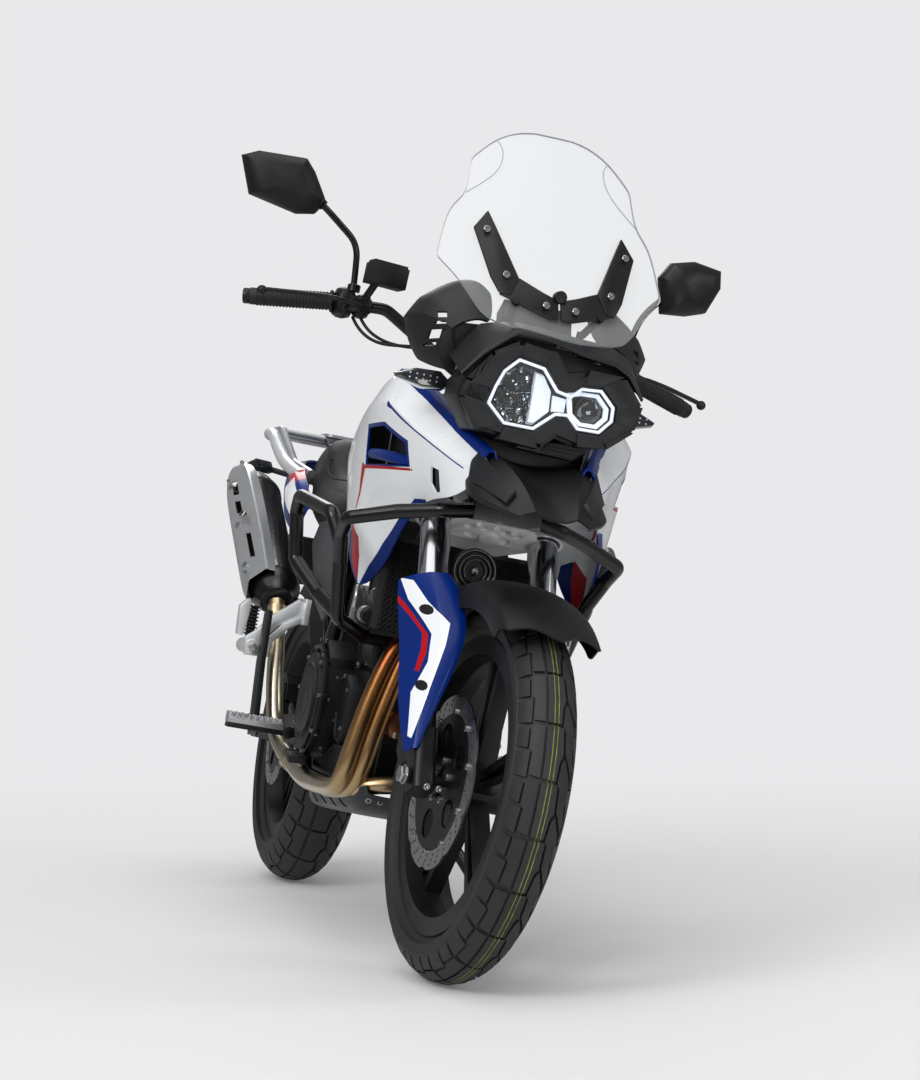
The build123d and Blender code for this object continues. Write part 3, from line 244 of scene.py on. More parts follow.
# %% A finish with grain
def finish(name, colour, second, roughness, grain_mm, grain_depth, metallic=0.0, coat=0.0, ior=1.5, uneven=0.08):
    """A surface whose colour drifts between two tones, with a fine grain and uneven gloss."""

    def shader(material):
        where = add_node(material, "ShaderNodeTexCoord").outputs["Object"]
        drift = add_node(material, "ShaderNodeTexNoise", {"Vector": where, "Scale": 9.0, "Detail": 3.0})
        grain = add_node(
            material, "ShaderNodeTexNoise", {"Vector": where, "Scale": 1000.0 / grain_mm, "Detail": 2.0}
        )
        tone = add_node(
            material,
            "ShaderNodeMix",
            {"Factor": drift.outputs["Fac"], "A": linear(colour), "B": linear(second)},
            data_type="RGBA",
        )
        gloss = add_node(
            material,
            "ShaderNodeMapRange",
            {
                "Value": drift.outputs["Fac"],
                "From Min": 0.3,
                "From Max": 0.7,
                "To Min": max(0.02, roughness - uneven),
                "To Max": roughness + uneven,
            },
        )
        bump = add_node(
            material,
            "ShaderNodeBump",
            {"Height": grain.outputs["Fac"], "Strength": 0.5, "Distance": grain_depth / 1000},
        )
        return add_node(
            material,
            "ShaderNodeBsdfPrincipled",
            {
                "Base Color": tone.outputs["Result"],
                "Roughness": gloss.outputs["Result"],
                "Metallic": metallic,
                "Coat Weight": coat,
                "Coat Roughness": 0.04,
                "IOR": ior,
                "Normal": bump.outputs["Normal"],
            },
        )

    return new_material(name, shader)


# lacquered ABS is smooth: only a trace of orange peel about 3 mm wide shows in its highlights
white_lacquer = finish("white_lacquered_abs", "#f6f8fa", "#f1f4f7", 0.24, 3.0, 0.02, coat=0.7)
blue_lacquer = finish("blue_lacquered_abs", "#002878", "#00226a", 0.32, 3.0, 0.02, coat=0.05, ior=1.3)
red_lacquer = finish("red_film_under_lacquer", "#b80c16", "#a80810", 0.3, 3.0, 0.02, coat=0.12, ior=1.36)
# polypropylene trim comes out of a spark-eroded mould with a grain under a millimetre wide
black_trim = finish("black_polypropylene_moulded", "#0c0c0d", "#101011", 0.5, 0.9, 0.10, ior=1.4)
grey_trim = finish("grey_polypropylene_moulded", "#17181a", "#1c1d1f", 0.5, 0.9, 0.08, ior=1.4)
gloss_black = finish("gloss_black_abs", "#09090a", "#0d0d0e", 0.2, 3.0, 0.02, coat=0.3)
# powder coat melts and levels into soft waves two or three millimetres across
powder_black = finish("black_powder_coated_steel", "#080809", "#0c0c0d", 0.3, 2.2, 0.05, coat=0.2, ior=1.4)
cast_black = finish("black_painted_cast_aluminium", "#0b0b0d", "#101012", 0.42, 1.4, 0.10, ior=1.4)
engine_black = finish("black_painted_sand_casting", "#08080a", "#0d0d0e", 0.45, 1.8, 0.22, ior=1.4)
blasted = finish("bead_blasted_aluminium", "#c6c8ca", "#b5b7ba", 0.38, 0.5, 0.03, metallic=0.85)
forged = finish("forged_bright_aluminium", "#e4e6e8", "#d6d8da", 0.36, 1.2, 0.03, metallic=0.55)
# painted sheen: the yoke casting sits in shade, so its base is almost white and barely metallic to read as bright
# silver
casting_with_painted_sheen = finish("shot_blasted_bright_casting", "#f2f2f2", "#dcdddf", 0.45, 1.2, 0.06, metallic=0.2)
polished_tube = finish("hard_anodised_fork_tube", "#c4c6c9", "#bcbec1", 0.16, 0.4, 0.005, metallic=1.0, uneven=0.03)
zinc_bolt = finish("zinc_plated_steel", "#b0b1b0", "#9d9e9c", 0.3, 0.6, 0.02, metallic=1.0)
disc_steel = finish("ground_stainless_disc", "#b4b5b4", "#9fa09f", 0.3, 0.4, 0.01, metallic=1.0)
chain_steel = finish("oiled_chain_steel", "#5d564d", "#3f3a34", 0.4, 0.8, 0.04, metallic=0.9)
tyre_rubber = finish("moulded_tyre_rubber", "#0a0a0a", "#0e0e0e", 0.7, 0.8, 0.08, ior=1.35)
grip_rubber = finish("moulded_grip_rubber", "#101010", "#151515", 0.65, 0.6, 0.08)
seat_vinyl = finish("grained_seat_vinyl", "#121213", "#171718", 0.58, 1.3, 0.25)
mirror_glass = finish("silvered_mirror_glass", "#dfe3e6", "#d9dde0", 0.05, 3.0, 0.0, metallic=1.0, uneven=0.01)
red_lens = finish("red_acrylic_lens", "#8f0a10", "#a00c12", 0.15, 3.0, 0.01, coat=1.0)
smoked_lens = finish("smoked_acrylic_lens", "#17191c", "#1e2126", 0.12, 3.0, 0.01, coat=1.0)

# %% [markdown]
# ## Clear and heated finishes
#
# The screen is thin extruded polycarbonate, so it is almost invisible except at its edges. The
# header pipes are stainless steel that the exhaust has tinted: brown and violet near the head, straw
# gold lower down.

# %% Screen, lens and tinted steel
def clear_sheet(material, facing_share=0.05, edge_share=0.22):
    """Polycarbonate sheet: light passes almost straight through and only the gloss shows."""
    edge = add_node(material, "ShaderNodeLayerWeight", {"Blend": 0.25})
    haze = add_node(
        material,
        "ShaderNodeBsdfPrincipled",
        {"Base Color": linear("#ffffff"), "Roughness": 0.04, "IOR": 1.5},
    )
    through = add_node(material, "ShaderNodeBsdfTransparent", {"Color": linear("#fdfefe")})
    share = add_node(
        material,
        "ShaderNodeMapRange",
        {
            "Value": edge.outputs["Facing"], "From Min": 0.0, "From Max": 1.0, "To Min": facing_share,
            "To Max": edge_share
        },
    )
    mix = add_node(material, "ShaderNodeMixShader", {0: share.outputs["Result"]})
    material.node_tree.links.new(through.outputs[0], mix.inputs[1])
    material.node_tree.links.new(haze.outputs[0], mix.inputs[2])
    return mix


clear_screen = new_material("clear_polycarbonate_sheet", clear_sheet)
clear_lens = new_material("hard_coated_lamp_cover", lambda material: clear_sheet(material, 0.015, 0.12))


def tinted_steel(material):
    """Stainless pipe whose temper colours fade with the distance from the cylinder head."""
    where = add_node(material, "ShaderNodeTexCoord").outputs["Object"]
    place = add_node(material, "ShaderNodeSeparateXYZ", {"Vector": where})
    behind = add_node(
        material, "ShaderNodeMath", {0: place.outputs["Y"], 1: -0.55, 2: -0.19}, operation="MULTIPLY_ADD"
    )
    height = add_node(
        material, "ShaderNodeMath", {0: behind.outputs[0], 1: place.outputs["Z"]}, operation="ADD"
    ).outputs[0]
    cloud = add_node(material, "ShaderNodeTexNoise", {"Vector": where, "Scale": 14.0, "Detail": 4.0})
    shifted = add_node(
        material, "ShaderNodeMath", {0: cloud.outputs["Fac"], 1: 0.12, 2: height}, operation="MULTIPLY_ADD"
    )
    ramp = add_node(material, "ShaderNodeValToRGB", {"Fac": shifted.outputs[0]})
    stops = ((0.24, "#bdb4a0"), (0.38, "#b0966e"), (0.50, "#9c7143"), (0.60, "#7a4426"), (0.70, "#3c211b"))
    for end in (0, -1):
        ramp.color_ramp.elements[end].position = stops[end][0]
        ramp.color_ramp.elements[end].color = linear(stops[end][1])
    for position, colour in stops[1:-1]:
        ramp.color_ramp.elements.new(position).color = linear(colour)
    brushed = add_node(material, "ShaderNodeTexNoise", {"Vector": where, "Scale": 700.0, "Detail": 2.0})
    bump = add_node(
        material, "ShaderNodeBump", {"Height": brushed.outputs["Fac"], "Strength": 0.3, "Distance": 0.00002}
    )
    return add_node(
        material,
        "ShaderNodeBsdfPrincipled",
        {"Base Color": ramp.outputs["Color"], "Metallic": 1.0, "Roughness": 0.3, "Normal": bump.outputs["Normal"]},
    )


header_steel = new_material("heat_tinted_stainless_pipe", tinted_steel)

# %% The finish of each part that keeps its own shape
NODE_FINISHES = {
    tyre_rubber: ("front_tyre", "rear_tyre"),
    cast_black: (
        "front_rim", "rear_rim", "fork_lowers", "front_caliper", "rear_caliper", "swingarm", "foot_controls",
        "hand_controls"
    ),
    disc_steel: ("front_disc", "rear_disc"),
    chain_steel: ("rear_sprocket", "drive_chain"),
    polished_tube: ("fork_tubes",),
    forged: ("triple_clamps", "passenger_pegs"),
    blasted: ("grab_rails", "fuel_cap", "muffler_shield"),
    blue_lacquer: ("fork_guards", "tail_fairing"),
    white_lacquer: ("fuel_tank", "shrouds"),
    black_trim: (
        "front_fender", "beak", "headlight", "mirrors", "rear_hugger", "dashboard", "front_indicators", "tail_light"
    ),
    grey_trim: ("cockpit_cowl", "side_panels"),
    powder_black: (
        "handlebar", "frame", "fairing_stay", "subframe", "crash_bars", "screen_bracket", "side_stand", "shock",
        "skid_plate", "radiator", "muffler"
    ),
    engine_black: ("engine",),
    grip_rubber: ("grips",),
    seat_vinyl: ("seat",),
    header_steel: ("exhaust_headers",),
    clear_screen: ("windscreen",),
    clear_lens: ("headlight_lens",),
}
for material, names in NODE_FINISHES.items():
    for name in names:
        mesh = frame["nodes"][name].data
        mesh.materials.clear()
        mesh.materials.append(material)
print("finishes given:", sum(len(names) for names in NODE_FINISHES.values()), "of", len(frame["nodes"]))

# %% [markdown]
# ## A small set of bench tools
#
# Every piece below starts as one of Blender's primitives and is shaped in edit mode. The same few
# moves come back all the time: choose faces or edges by where they are, apply a modifier, pull the
# crossings of a grid to measured points, cut along a masked line and paint inside it, and finally
# set the piece on the machine. Each is a short function, so that the steps stay readable.

# %% Choosing, and applying a modifier
import bmesh


def choose(kind, test):
    """In edit mode, selects the faces, edges or verts of the active piece that pass the test."""
    piece = bpy.context.object
    if piece.mode != "EDIT":
        bpy.ops.object.mode_set(mode="EDIT")
    bpy.ops.mesh.select_mode(type={"faces": "FACE", "edges": "EDGE", "verts": "VERT"}[kind])
    bpy.ops.mesh.select_all(action="DESELECT")
    edit = bmesh.from_edit_mesh(piece.data)
    for part in getattr(edit, kind):
        part.select_set(bool(test(part)))
    edit.select_flush_mode()
    bmesh.update_edit_mesh(piece.data)


def middle(part):
    """The middle of an edge or a face."""
    return sum((vertex.co for vertex in part.verts), Vector()) / len(part.verts)


def modify(piece, kind, **settings):
    """Adds a modifier, sets it and applies it."""
    if bpy.context.object and bpy.context.object.mode != "OBJECT":
        bpy.ops.object.mode_set(mode="OBJECT")
    bpy.context.view_layer.objects.active = piece
    modifier = piece.modifiers.new(kind.lower(), kind)
    for name, value in settings.items():
        setattr(modifier, name, value)
    bpy.ops.object.modifier_apply(modifier=modifier.name)


def start(primitive, **sizes):
    """Adds one primitive with nothing else selected and returns it."""
    deselect_all()
    getattr(bpy.ops.mesh, f"primitive_{primitive}_add")(**sizes)
    return bpy.context.object


# %% A sheet through measured rows, and a body drawn from section to section
def skin(rows, sharp=(), levels=2, mirrored=True, facing=(-1, 0, 0), taut=False):
    """A grid pulled to rows of measured points, rounded between them and creased along some columns."""
    count = len(rows[0])
    piece = start("grid", x_subdivisions=count - 1, y_subdivisions=len(rows) - 1)
    for vertex, place in zip(piece.data.vertices, (point for row in rows for point in row)):
        vertex.co = place
    choose("edges", lambda edge: {v.index % count for v in edge.verts} in [{column} for column in sharp])
    bpy.ops.transform.edge_crease(value=0.9)
    if taut:
        choose(
            "edges", lambda edge: edge.is_boundary and (not mirrored or any(abs(v.co.x) > 1 for v in edge.verts))
        )
        bpy.ops.transform.edge_crease(value=1.0)
    bpy.ops.object.mode_set(mode="OBJECT")
    if sum((face.normal * face.area for face in piece.data.polygons), Vector()).dot(Vector(facing)) < 0:
        bpy.ops.object.mode_set(mode="EDIT")
        bpy.ops.mesh.select_all(action="SELECT")
        bpy.ops.mesh.flip_normals()
        bpy.ops.object.mode_set(mode="OBJECT")
    if mirrored:
        modify(piece, "MIRROR", merge_threshold=0.5)
    if levels:
        modify(piece, "SUBSURF", levels=levels, render_levels=levels)
    return piece


def drawn(rows, levels=2, crease=()):
    """A closed body: a filled ring that is extruded from each measured section to the next."""
    piece = start("circle", vertices=len(rows[0]), fill_type="NGON")
    for vertex, place in zip(piece.data.vertices, rows[0]):
        vertex.co = place
    bpy.ops.object.mode_set(mode="EDIT")
    bpy.ops.mesh.select_all(action="SELECT")
    for before, after in zip(rows, rows[1:]):
        bpy.ops.mesh.extrude_region_move()
        edit = bmesh.from_edit_mesh(piece.data)
        for vertex in [v for v in edit.verts if v.select]:
            nearest = min(range(len(before)), key=lambda k: (Vector(before[k]) - vertex.co).length)
            vertex.co = after[nearest]
        bmesh.update_edit_mesh(piece.data)
    bpy.ops.mesh.select_all(action="SELECT")
    bpy.ops.mesh.normals_make_consistent(inside=False)
    if crease:
        corners = [Vector(row[k]) for row in rows for k in crease]
        choose("edges", lambda edge: all(any((v.co - c).length < 0.01 for c in corners) for v in edge.verts))
        bpy.ops.transform.edge_crease(value=0.85)
    bpy.ops.object.mode_set(mode="OBJECT")
    if levels:
        modify(piece, "SUBSURF", levels=levels, render_levels=levels)
    return piece


def prism(outline, plane, depth, shrink=1.0):
    """A flat plate of an outline; plane maps each outline point into the machine, depth is a vector."""
    piece = start("circle", vertices=len(outline), fill_type="NGON")
    for vertex, point in zip(piece.data.vertices, outline):
        vertex.co = plane(*point)
    bpy.ops.object.mode_set(mode="EDIT")
    bpy.ops.mesh.select_all(action="SELECT")
    bpy.ops.mesh.extrude_region_move(TRANSFORM_OT_translate={"value": depth})
    if shrink != 1.0:
        bpy.ops.transform.resize(value=(shrink, shrink, shrink))
    bpy.ops.mesh.select_all(action="SELECT")
    bpy.ops.mesh.normals_make_consistent(inside=False)
    bpy.ops.object.mode_set(mode="OBJECT")
    return piece


def plate_across(outline, y, depth, shrink=1.0):
    """A flat plate whose outline is seen from the front, as x and z."""
    return prism(list(outline), lambda x, z: (x, y, z), (0, depth, 0), shrink)


def plate_beside(outline, x, depth, shrink=1.0):
    """A flat plate whose outline is seen from the side, as y and z."""
    return prism(list(outline), lambda y, z: (x, y, z), (depth, 0, 0), shrink)


def plate_level(outline, z, depth, shrink=1.0):
    """A flat plate whose outline is seen from above, as x and y."""
    return prism(list(outline), lambda x, y: (x, y, z), (0, 0, depth), shrink)


SIDEWAYS, FORWARDS = (0, pi / 2, 0), (pi / 2, 0, 0)  # turns that lay an upright axis down


def rod(radius, depth, place, turn=(0, 0, 0), sides=32):
    """A round or, with six sides, hexagonal bar about its middle."""
    return start("cylinder", vertices=sides, radius=radius, depth=depth, location=place, rotation=turn)


def hoop(radius, thickness, place, turn, segments, sides):
    """A ring of round wire."""
    return start(
        "torus", location=place, rotation=turn, major_radius=radius, minor_radius=thickness,
        major_segments=segments, minor_segments=sides,
    )


def round_tube(points, diameter, sides=20):
    """A bent tube or cable: a smooth curve with a round section, made a mesh."""
    deselect_all()
    bpy.ops.curve.primitive_nurbs_path_add()
    piece = bpy.context.object
    curve = piece.data
    curve.splines.clear()
    line = curve.splines.new("NURBS")
    line.points.add(len(points) - 1)
    for target, place in zip(line.points, points):
        target.co = (*place, 1)
    line.use_endpoint_u = True
    line.order_u = 3
    curve.resolution_u = 10
    curve.bevel_depth = diameter / 2
    curve.bevel_resolution = sides // 4
    curve.use_fill_caps = True
    bpy.ops.object.convert(target="MESH")
    return bpy.context.object


# %% Masking and painting
def inside(point, outline):
    """True when a flat point lies within an outline."""
    hit = False
    for (ax, ay), (bx, by) in zip(outline, outline[1:] + outline[:1]):
        if (ay > point[1]) != (by > point[1]) and point[0] < (bx - ax) * (point[1] - ay) / (by - ay) + ax:
            hit = not hit
    return hit


SEEN_FROM = {"side": (1, 2), "front": (0, 2), "top": (0, 1)}  # which two coordinates the outline uses


def mask_off(piece, outline, seen, material=None, only=None):
    """Cuts a piece along a taped outline and paints, or cuts out, what is inside the tape."""
    first, second = SEEN_FROM[seen]
    outline = [tuple(point) for point in outline]
    low = [min(p[k] for p in outline) - 45 for k in (0, 1)]
    high = [max(p[k] for p in outline) + 45 for k in (0, 1)]

    def flat(point):
        across = point[first]
        if seen != "side":  # both halves of the machine are compared with the half that was taped
            across = taped_side * abs(across)
        return across, point[second]

    taped_side = 1 if seen == "side" or sum(p[0] for p in outline) > 0 else -1
    bpy.context.view_layer.objects.active = piece

    def near(face):
        a, b = flat(middle(face))
        return low[0] < a < high[0] and low[1] < b < high[1] and (only is None or only(middle(face)))

    for a, b in zip(outline, outline[1:] + outline[:1]):
        for flip in (1, -1) if seen != "side" else (1,):
            start_point, along = [0, 0, 0], [0, 0, 0]
            start_point[first], start_point[second] = a[0] * flip, a[1]
            along[first], along[second] = (b[0] - a[0]) * flip, b[1] - a[1]
            view = [0, 0, 0]
            view[3 - first - second] = 1
            across = Vector(along).cross(Vector(view))
            if across.length < 1e-6:
                continue
            choose(
                "faces", lambda face: near(face) and (seen == "side" or middle(face)[first] * flip * taped_side > 0)
            )
            bpy.ops.mesh.bisect(plane_co=start_point, plane_no=across.normalized())
    choose("faces", lambda face: near(face) and inside(flat(middle(face)), outline))
    if material is None:
        bpy.ops.mesh.delete(type="FACE")
    else:
        if material.name not in piece.data.materials:
            piece.data.materials.append(material)
        piece.active_material_index = piece.data.materials.find(material.name)
        bpy.ops.object.material_slot_assign()
    bpy.ops.object.mode_set(mode="OBJECT")


# %% Setting a piece on the machine
PIECES = []


def coat(piece, *materials):
    """Gives the whole piece one finish; any further ones wait for chosen faces."""
    piece.data.materials.clear()
    for material in materials:
        piece.data.materials.append(material)


def settle(piece, name, body, material=None, replaced=(), angle=38, bevel=0.0):
    """Names, finishes and leans a piece, leaves its place in its mesh, and lets it ride on a body."""
    deselect_all()
    piece.name = name
    bpy.context.view_layer.objects.active = piece
    piece.select_set(True)
    if bevel:
        modify(piece, "BEVEL", width=bevel, segments=2, limit_method="ANGLE", angle_limit=radians(35))
    bpy.ops.object.transform_apply(location=True, rotation=True, scale=True)
    if material and not piece.data.materials:
        piece.data.materials.append(material)
    piece.matrix_world = turned if body in ("steering", "front_wheel") else leaned
    bpy.context.view_layer.update()
    bpy.ops.object.transform_apply(location=True, rotation=True, scale=True)
    bpy.ops.object.shade_smooth_by_angle(angle=radians(angle))
    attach(piece, body)
    if replaced:
        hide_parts(*replaced)
    PIECES.append(name)
    return piece


def joined(pieces):
    """Joins several meshes to one."""
    deselect_all()
    for piece in pieces:
        piece.select_set(True)
    bpy.context.view_layer.objects.active = pieces[0]
    if len(pieces) > 1:
        bpy.ops.object.join()
    return bpy.context.object


def stamped(pattern, places):
    """Copies a small part, each copy with its own mesh, to every (place, direction, size), as one piece."""
    copies = []
    for place, direction, size in places:
        copy = pattern.copy()
        copy.data = pattern.data.copy()
        bpy.context.collection.objects.link(copy)
        turn = Vector(direction).to_track_quat("Z", "Y").to_matrix().to_4x4()
        copy.matrix_world = Matrix.Translation(place) @ turn @ Matrix.Scale(size, 4)
        deselect_all()
        copy.select_set(True)
        bpy.context.view_layer.objects.active = copy
        bpy.ops.object.transform_apply(location=True, rotation=True, scale=True)
        copies.append(copy)
    return joined(copies)


def finish_faces(piece, material, test):
    """Gives a second finish to the faces of an unplaced piece that pass the test."""
    bpy.context.view_layer.objects.active = piece
    choose("faces", test)
    if material.name not in piece.data.materials:
        piece.data.materials.append(material)
    piece.active_material_index = piece.data.materials.find(material.name)
    bpy.ops.object.material_slot_assign()
    bpy.ops.object.mode_set(mode="OBJECT")


def on_fork(x, y, z):
    """A point given beside the fork leg, with y square to the leg and z up it from the axle."""
    return (
        x,
        FRONT_AXLE.y + y * cos(RAKE) + z * sin(RAKE),
        FRONT_AXLE.z - y * sin(RAKE) + z * cos(RAKE),
    )

# %% [markdown]
# ## Tyres with real tread
#
# A dual-purpose tyre has broad blocks cut by narrow grooves, so that it grips both road and gravel.
# The carcass is a profile spun round the axle. One pitch of the pattern is drawn flat as a few
# outlines, cut into strips so that it can bend over the crown, wrapped round the tyre, thickened to
# the tread's depth and copied round. Modelled grooves, rather than painted ones, break the outline
# against the floor and catch the light along their edges.

# %% The tread compound, with two thin colour-code lines at the crown
def tread_rubber(name, lined):
    """Black rubber, a little uneven in gloss; a new front tyre shows two thin coloured lines."""
    back = (turned if lined else leaned).inverted()
    turn, place = back.to_3x3(), back.translation

    def shader(material):
        where = add_node(material, "ShaderNodeTexCoord").outputs["Object"]
        bike = add_node(
            material,
            "ShaderNodeMapping",
            {
                "Vector": where,
                "Location": place,
                "Rotation": turn.to_euler(),
                "Scale": (1000, 1000, 1000),
            },
        )
        across = add_node(material, "ShaderNodeSeparateXYZ", {"Vector": bike.outputs["Vector"]}).outputs["X"]
        beside = add_node(material, "ShaderNodeMath", {0: across}, operation="ABSOLUTE")
        off_line = add_node(material, "ShaderNodeMath", {0: beside.outputs[0], 1: 3.4}, operation="SUBTRACT")
        distance = add_node(material, "ShaderNodeMath", {0: off_line.outputs[0]}, operation="ABSOLUTE")
        line = add_node(
            material, "ShaderNodeMath", {0: distance.outputs[0], 1: 0.7 if lined else 0.0}, operation="LESS_THAN"
        )
        patchy = add_node(material, "ShaderNodeTexNoise", {"Vector": where, "Scale": 60.0, "Detail": 3.0})
        shown = add_node(
            material, "ShaderNodeMath", {0: line.outputs[0], 1: patchy.outputs["Fac"]}, operation="MULTIPLY"
        )
        dust = add_node(
            material,
            "ShaderNodeMix",
            {"Factor": patchy.outputs["Fac"], "A": linear("#161617"), "B": linear("#212123")},
            data_type="RGBA",
        )
        colour = add_node(
            material,
            "ShaderNodeMix",
            {"Factor": shown.outputs[0], "A": dust.outputs["Result"], "B": linear("#9ba81e")},
            data_type="RGBA",
        )
        # the mould leaves a grain of about 1.2 mm
        grain = add_node(material, "ShaderNodeTexNoise", {"Vector": where, "Scale": 830.0, "Detail": 2.0})
        bump = add_node(
            material, "ShaderNodeBump", {"Height": grain.outputs["Fac"], "Strength": 0.4, "Distance": 0.0001}
        )
        return add_node(
            material,
            "ShaderNodeBsdfPrincipled",
            {"Base Color": colour.outputs["Result"], "Roughness": 0.62, "Normal": bump.outputs["Normal"]},
        )

    return new_material(name, shader)


front_tread = tread_rubber("moulded_front_tread_rubber", True)
rear_tread = tread_rubber("moulded_rear_tread_rubber", False)

# %% One tyre
FRONT_RIM, REAR_RIM = 241.3, 215.9  # radii of a 19 inch and a 17 inch rim
TREAD_DEPTH = 5.0
RIM_LIP = 14.0
TREAD_BLOCKS = (  # outlines of one pitch: share of the pitch along the tyre, share of the half width across
    ((0.03, -0.20), (0.97, -0.20), (0.97, 0.13), (0.60, 0.16), (0.50, 0.24), (0.03, 0.20)),
    ((0.04, -0.26), (0.96, -0.26), (0.93, -0.52), (0.52, -0.50), (0.46, -0.58), (0.06, -0.56)),
    ((0.03, 0.26), (0.48, 0.31), (0.84, 0.60), (0.66, 0.66), (0.10, 0.40)),
    ((0.66, 0.22), (1.00, 0.18), (1.42, 0.56), (0.98, 0.58), (0.56, 0.30)),
    ((0.10, 0.48), (0.62, 0.74), (0.58, 0.98), (0.02, 0.92)),
    ((0.70, 0.72), (1.04, 0.66), (0.98, 0.96), (0.66, 0.98)),
    ((0.08, -0.62), (0.44, -0.64), (0.40, -0.98), (0.02, -0.94)),
    ((0.52, -0.56), (0.98, -0.58), (0.94, -0.96), (0.48, -0.98)),
)


def tyre(name, axle, radius, width, rim_radius, pitches, material, body, replaced):
    """A spun carcass with wrapped tread blocks."""
    crown = width / 2
    reach = asin(sqrt(1 - 0.25**2))  # how far round the crown the round part of the profile goes
    profile = []
    for step in range(17):
        angle = -reach + 2 * reach * step / 16
        drop = TREAD_DEPTH * min(1.0, (1 - abs(angle) / reach) * 5)
        profile.append(((crown - drop) * sin(angle), radius - crown + (crown - drop) * cos(angle)))
    bead = width * 0.3
    wall = [
        (crown * 0.93, radius - crown - 4), (crown * 0.80, rim_radius + RIM_LIP + 12),
        (bead + 3, rim_radius + RIM_LIP + 1), (bead - 1, rim_radius + 4)
    ]
    profile = [(-x, r) for x, r in wall[::-1]] + profile + wall
    carcass = start("circle", vertices=len(profile))
    bpy.ops.object.mode_set(mode="EDIT")
    choose("edges", lambda edge: {v.index for v in edge.verts} == {0, len(profile) - 1})
    bpy.ops.mesh.delete(type="EDGE")
    edit = bmesh.from_edit_mesh(carcass.data)
    for vertex, (x, r) in zip(edit.verts, profile):
        vertex.co = (x, 0, r)
    bmesh.update_edit_mesh(carcass.data)
    bpy.ops.mesh.select_all(action="SELECT")
    bpy.ops.mesh.spin(steps=96, angle=2 * pi, center=(0, 0, 0), axis=(1, 0, 0))
    bpy.ops.mesh.select_all(action="SELECT")
    bpy.ops.mesh.remove_doubles(threshold=0.05)
    bpy.ops.mesh.normals_make_consistent(inside=False)
    bpy.ops.object.mode_set(mode="OBJECT")

    pitch_angle = 2 * pi / pitches
    blocks = []
    for outline in TREAD_BLOCKS:
        block = start("circle", vertices=len(outline), fill_type="NGON")
        for vertex, (along, side) in zip(block.data.vertices, outline):
            vertex.co = (side, along, 0)
        bpy.ops.object.mode_set(mode="EDIT")
        for cut in range(-9, 10):
            bpy.ops.mesh.select_all(action="SELECT")
            bpy.ops.mesh.bisect(plane_co=(cut * 0.1 + 0.05, 0, 0), plane_no=(1, 0, 0))
        bpy.ops.mesh.select_all(action="SELECT")
        bpy.ops.mesh.bisect(plane_co=(0, 0.5, 0), plane_no=(0, 1, 0))
        bpy.ops.mesh.select_all(action="SELECT")
        bpy.ops.mesh.extrude_region_move(TRANSFORM_OT_translate={"value": (0, 0, 1)})
        bpy.ops.object.mode_set(mode="OBJECT")
        for vertex in block.data.vertices:
            side, along, height = vertex.co
            angle, turn = side * reach * 0.98, along * pitch_angle
            lift = crown - TREAD_DEPTH - 1 + height * (TREAD_DEPTH + 1 - abs(side) * 0.9)
            out = radius - crown + lift * cos(angle)
            vertex.co = (lift * sin(angle), -out * sin(turn), out * cos(turn))
        bpy.ops.object.mode_set(mode="EDIT")
        bpy.ops.mesh.select_all(action="SELECT")
        bpy.ops.mesh.normals_make_consistent(inside=False)
        bpy.ops.object.mode_set(mode="OBJECT")
        blocks.append(block)
    pitch = joined(blocks)
    ring = [carcass]
    for step in range(pitches):
        copy = pitch.copy()
        copy.data = pitch.data.copy()
        bpy.context.collection.objects.link(copy)
        copy.rotation_euler = (step * pitch_angle, 0, 0)
        ring.append(copy)
    bpy.data.objects.remove(pitch)
    deselect_all()
    for copy in ring:
        copy.select_set(True)
    bpy.context.view_layer.objects.active = carcass
    bpy.ops.object.transform_apply(location=True, rotation=True, scale=True)
    whole = joined(ring)
    whole.location = axle
    return settle(whole, name, body, material, replaced, angle=30)


tyre(
    "front_tyre_tread", FRONT_AXLE, FRONT_RADIUS, 110.0, FRONT_RIM, 22, front_tread, "front_wheel", ("front_tyre",)
)
tyre("rear_tyre_tread", REAR_AXLE, REAR_RADIUS, 140.0, REAR_RIM, 20, rear_tread, "rear_wheel", ("rear_tyre",))
print("tyres:", PIECES)

# %% [markdown]
# ## Fork guards, fender and brake discs
#
# The guards are thin lacquered mouldings in front of each fork leg. Their folds are what shows, so a
# grid is pulled to rows measured up the leg, and the fold is creased before it is rounded. The
# fender is the same kind of sheet, bent round the tyre, in unpainted black plastic.

# %% Fork guards
GUARD_ROWS = (  # height up the leg, then (x, depth) of five points from the inner edge to the outer edge
    (40, (120, -26), (123, -26), (127, -23), (131, -14), (134, 2)),
    (90, (106, -40), (112, -40), (124, -34), (136, -16), (142, 8)),
    (150, (86, -64), (96, -66), (116, -56), (138, -26), (150, 8)),
    (222, (70, -96), (82, -98), (106, -84), (136, -42), (153, 2)),
    (270, (72, -94), (88, -96), (116, -84), (142, -44), (158, 2)),
    (318, (82, -84), (98, -86), (124, -74), (150, -42), (165, -2)),
    (352, (96, -68), (106, -72), (130, -62), (154, -38), (168, -8)),
)
guards = skin(
    [[on_fork(-x, y, z) for x, y in points] for z, *points in GUARD_ROWS],
    sharp=(2,),
    levels=3,
    facing=(-0.5, -1, 0),
    taut=True,
)
guards.data.materials.append(blue_lacquer)

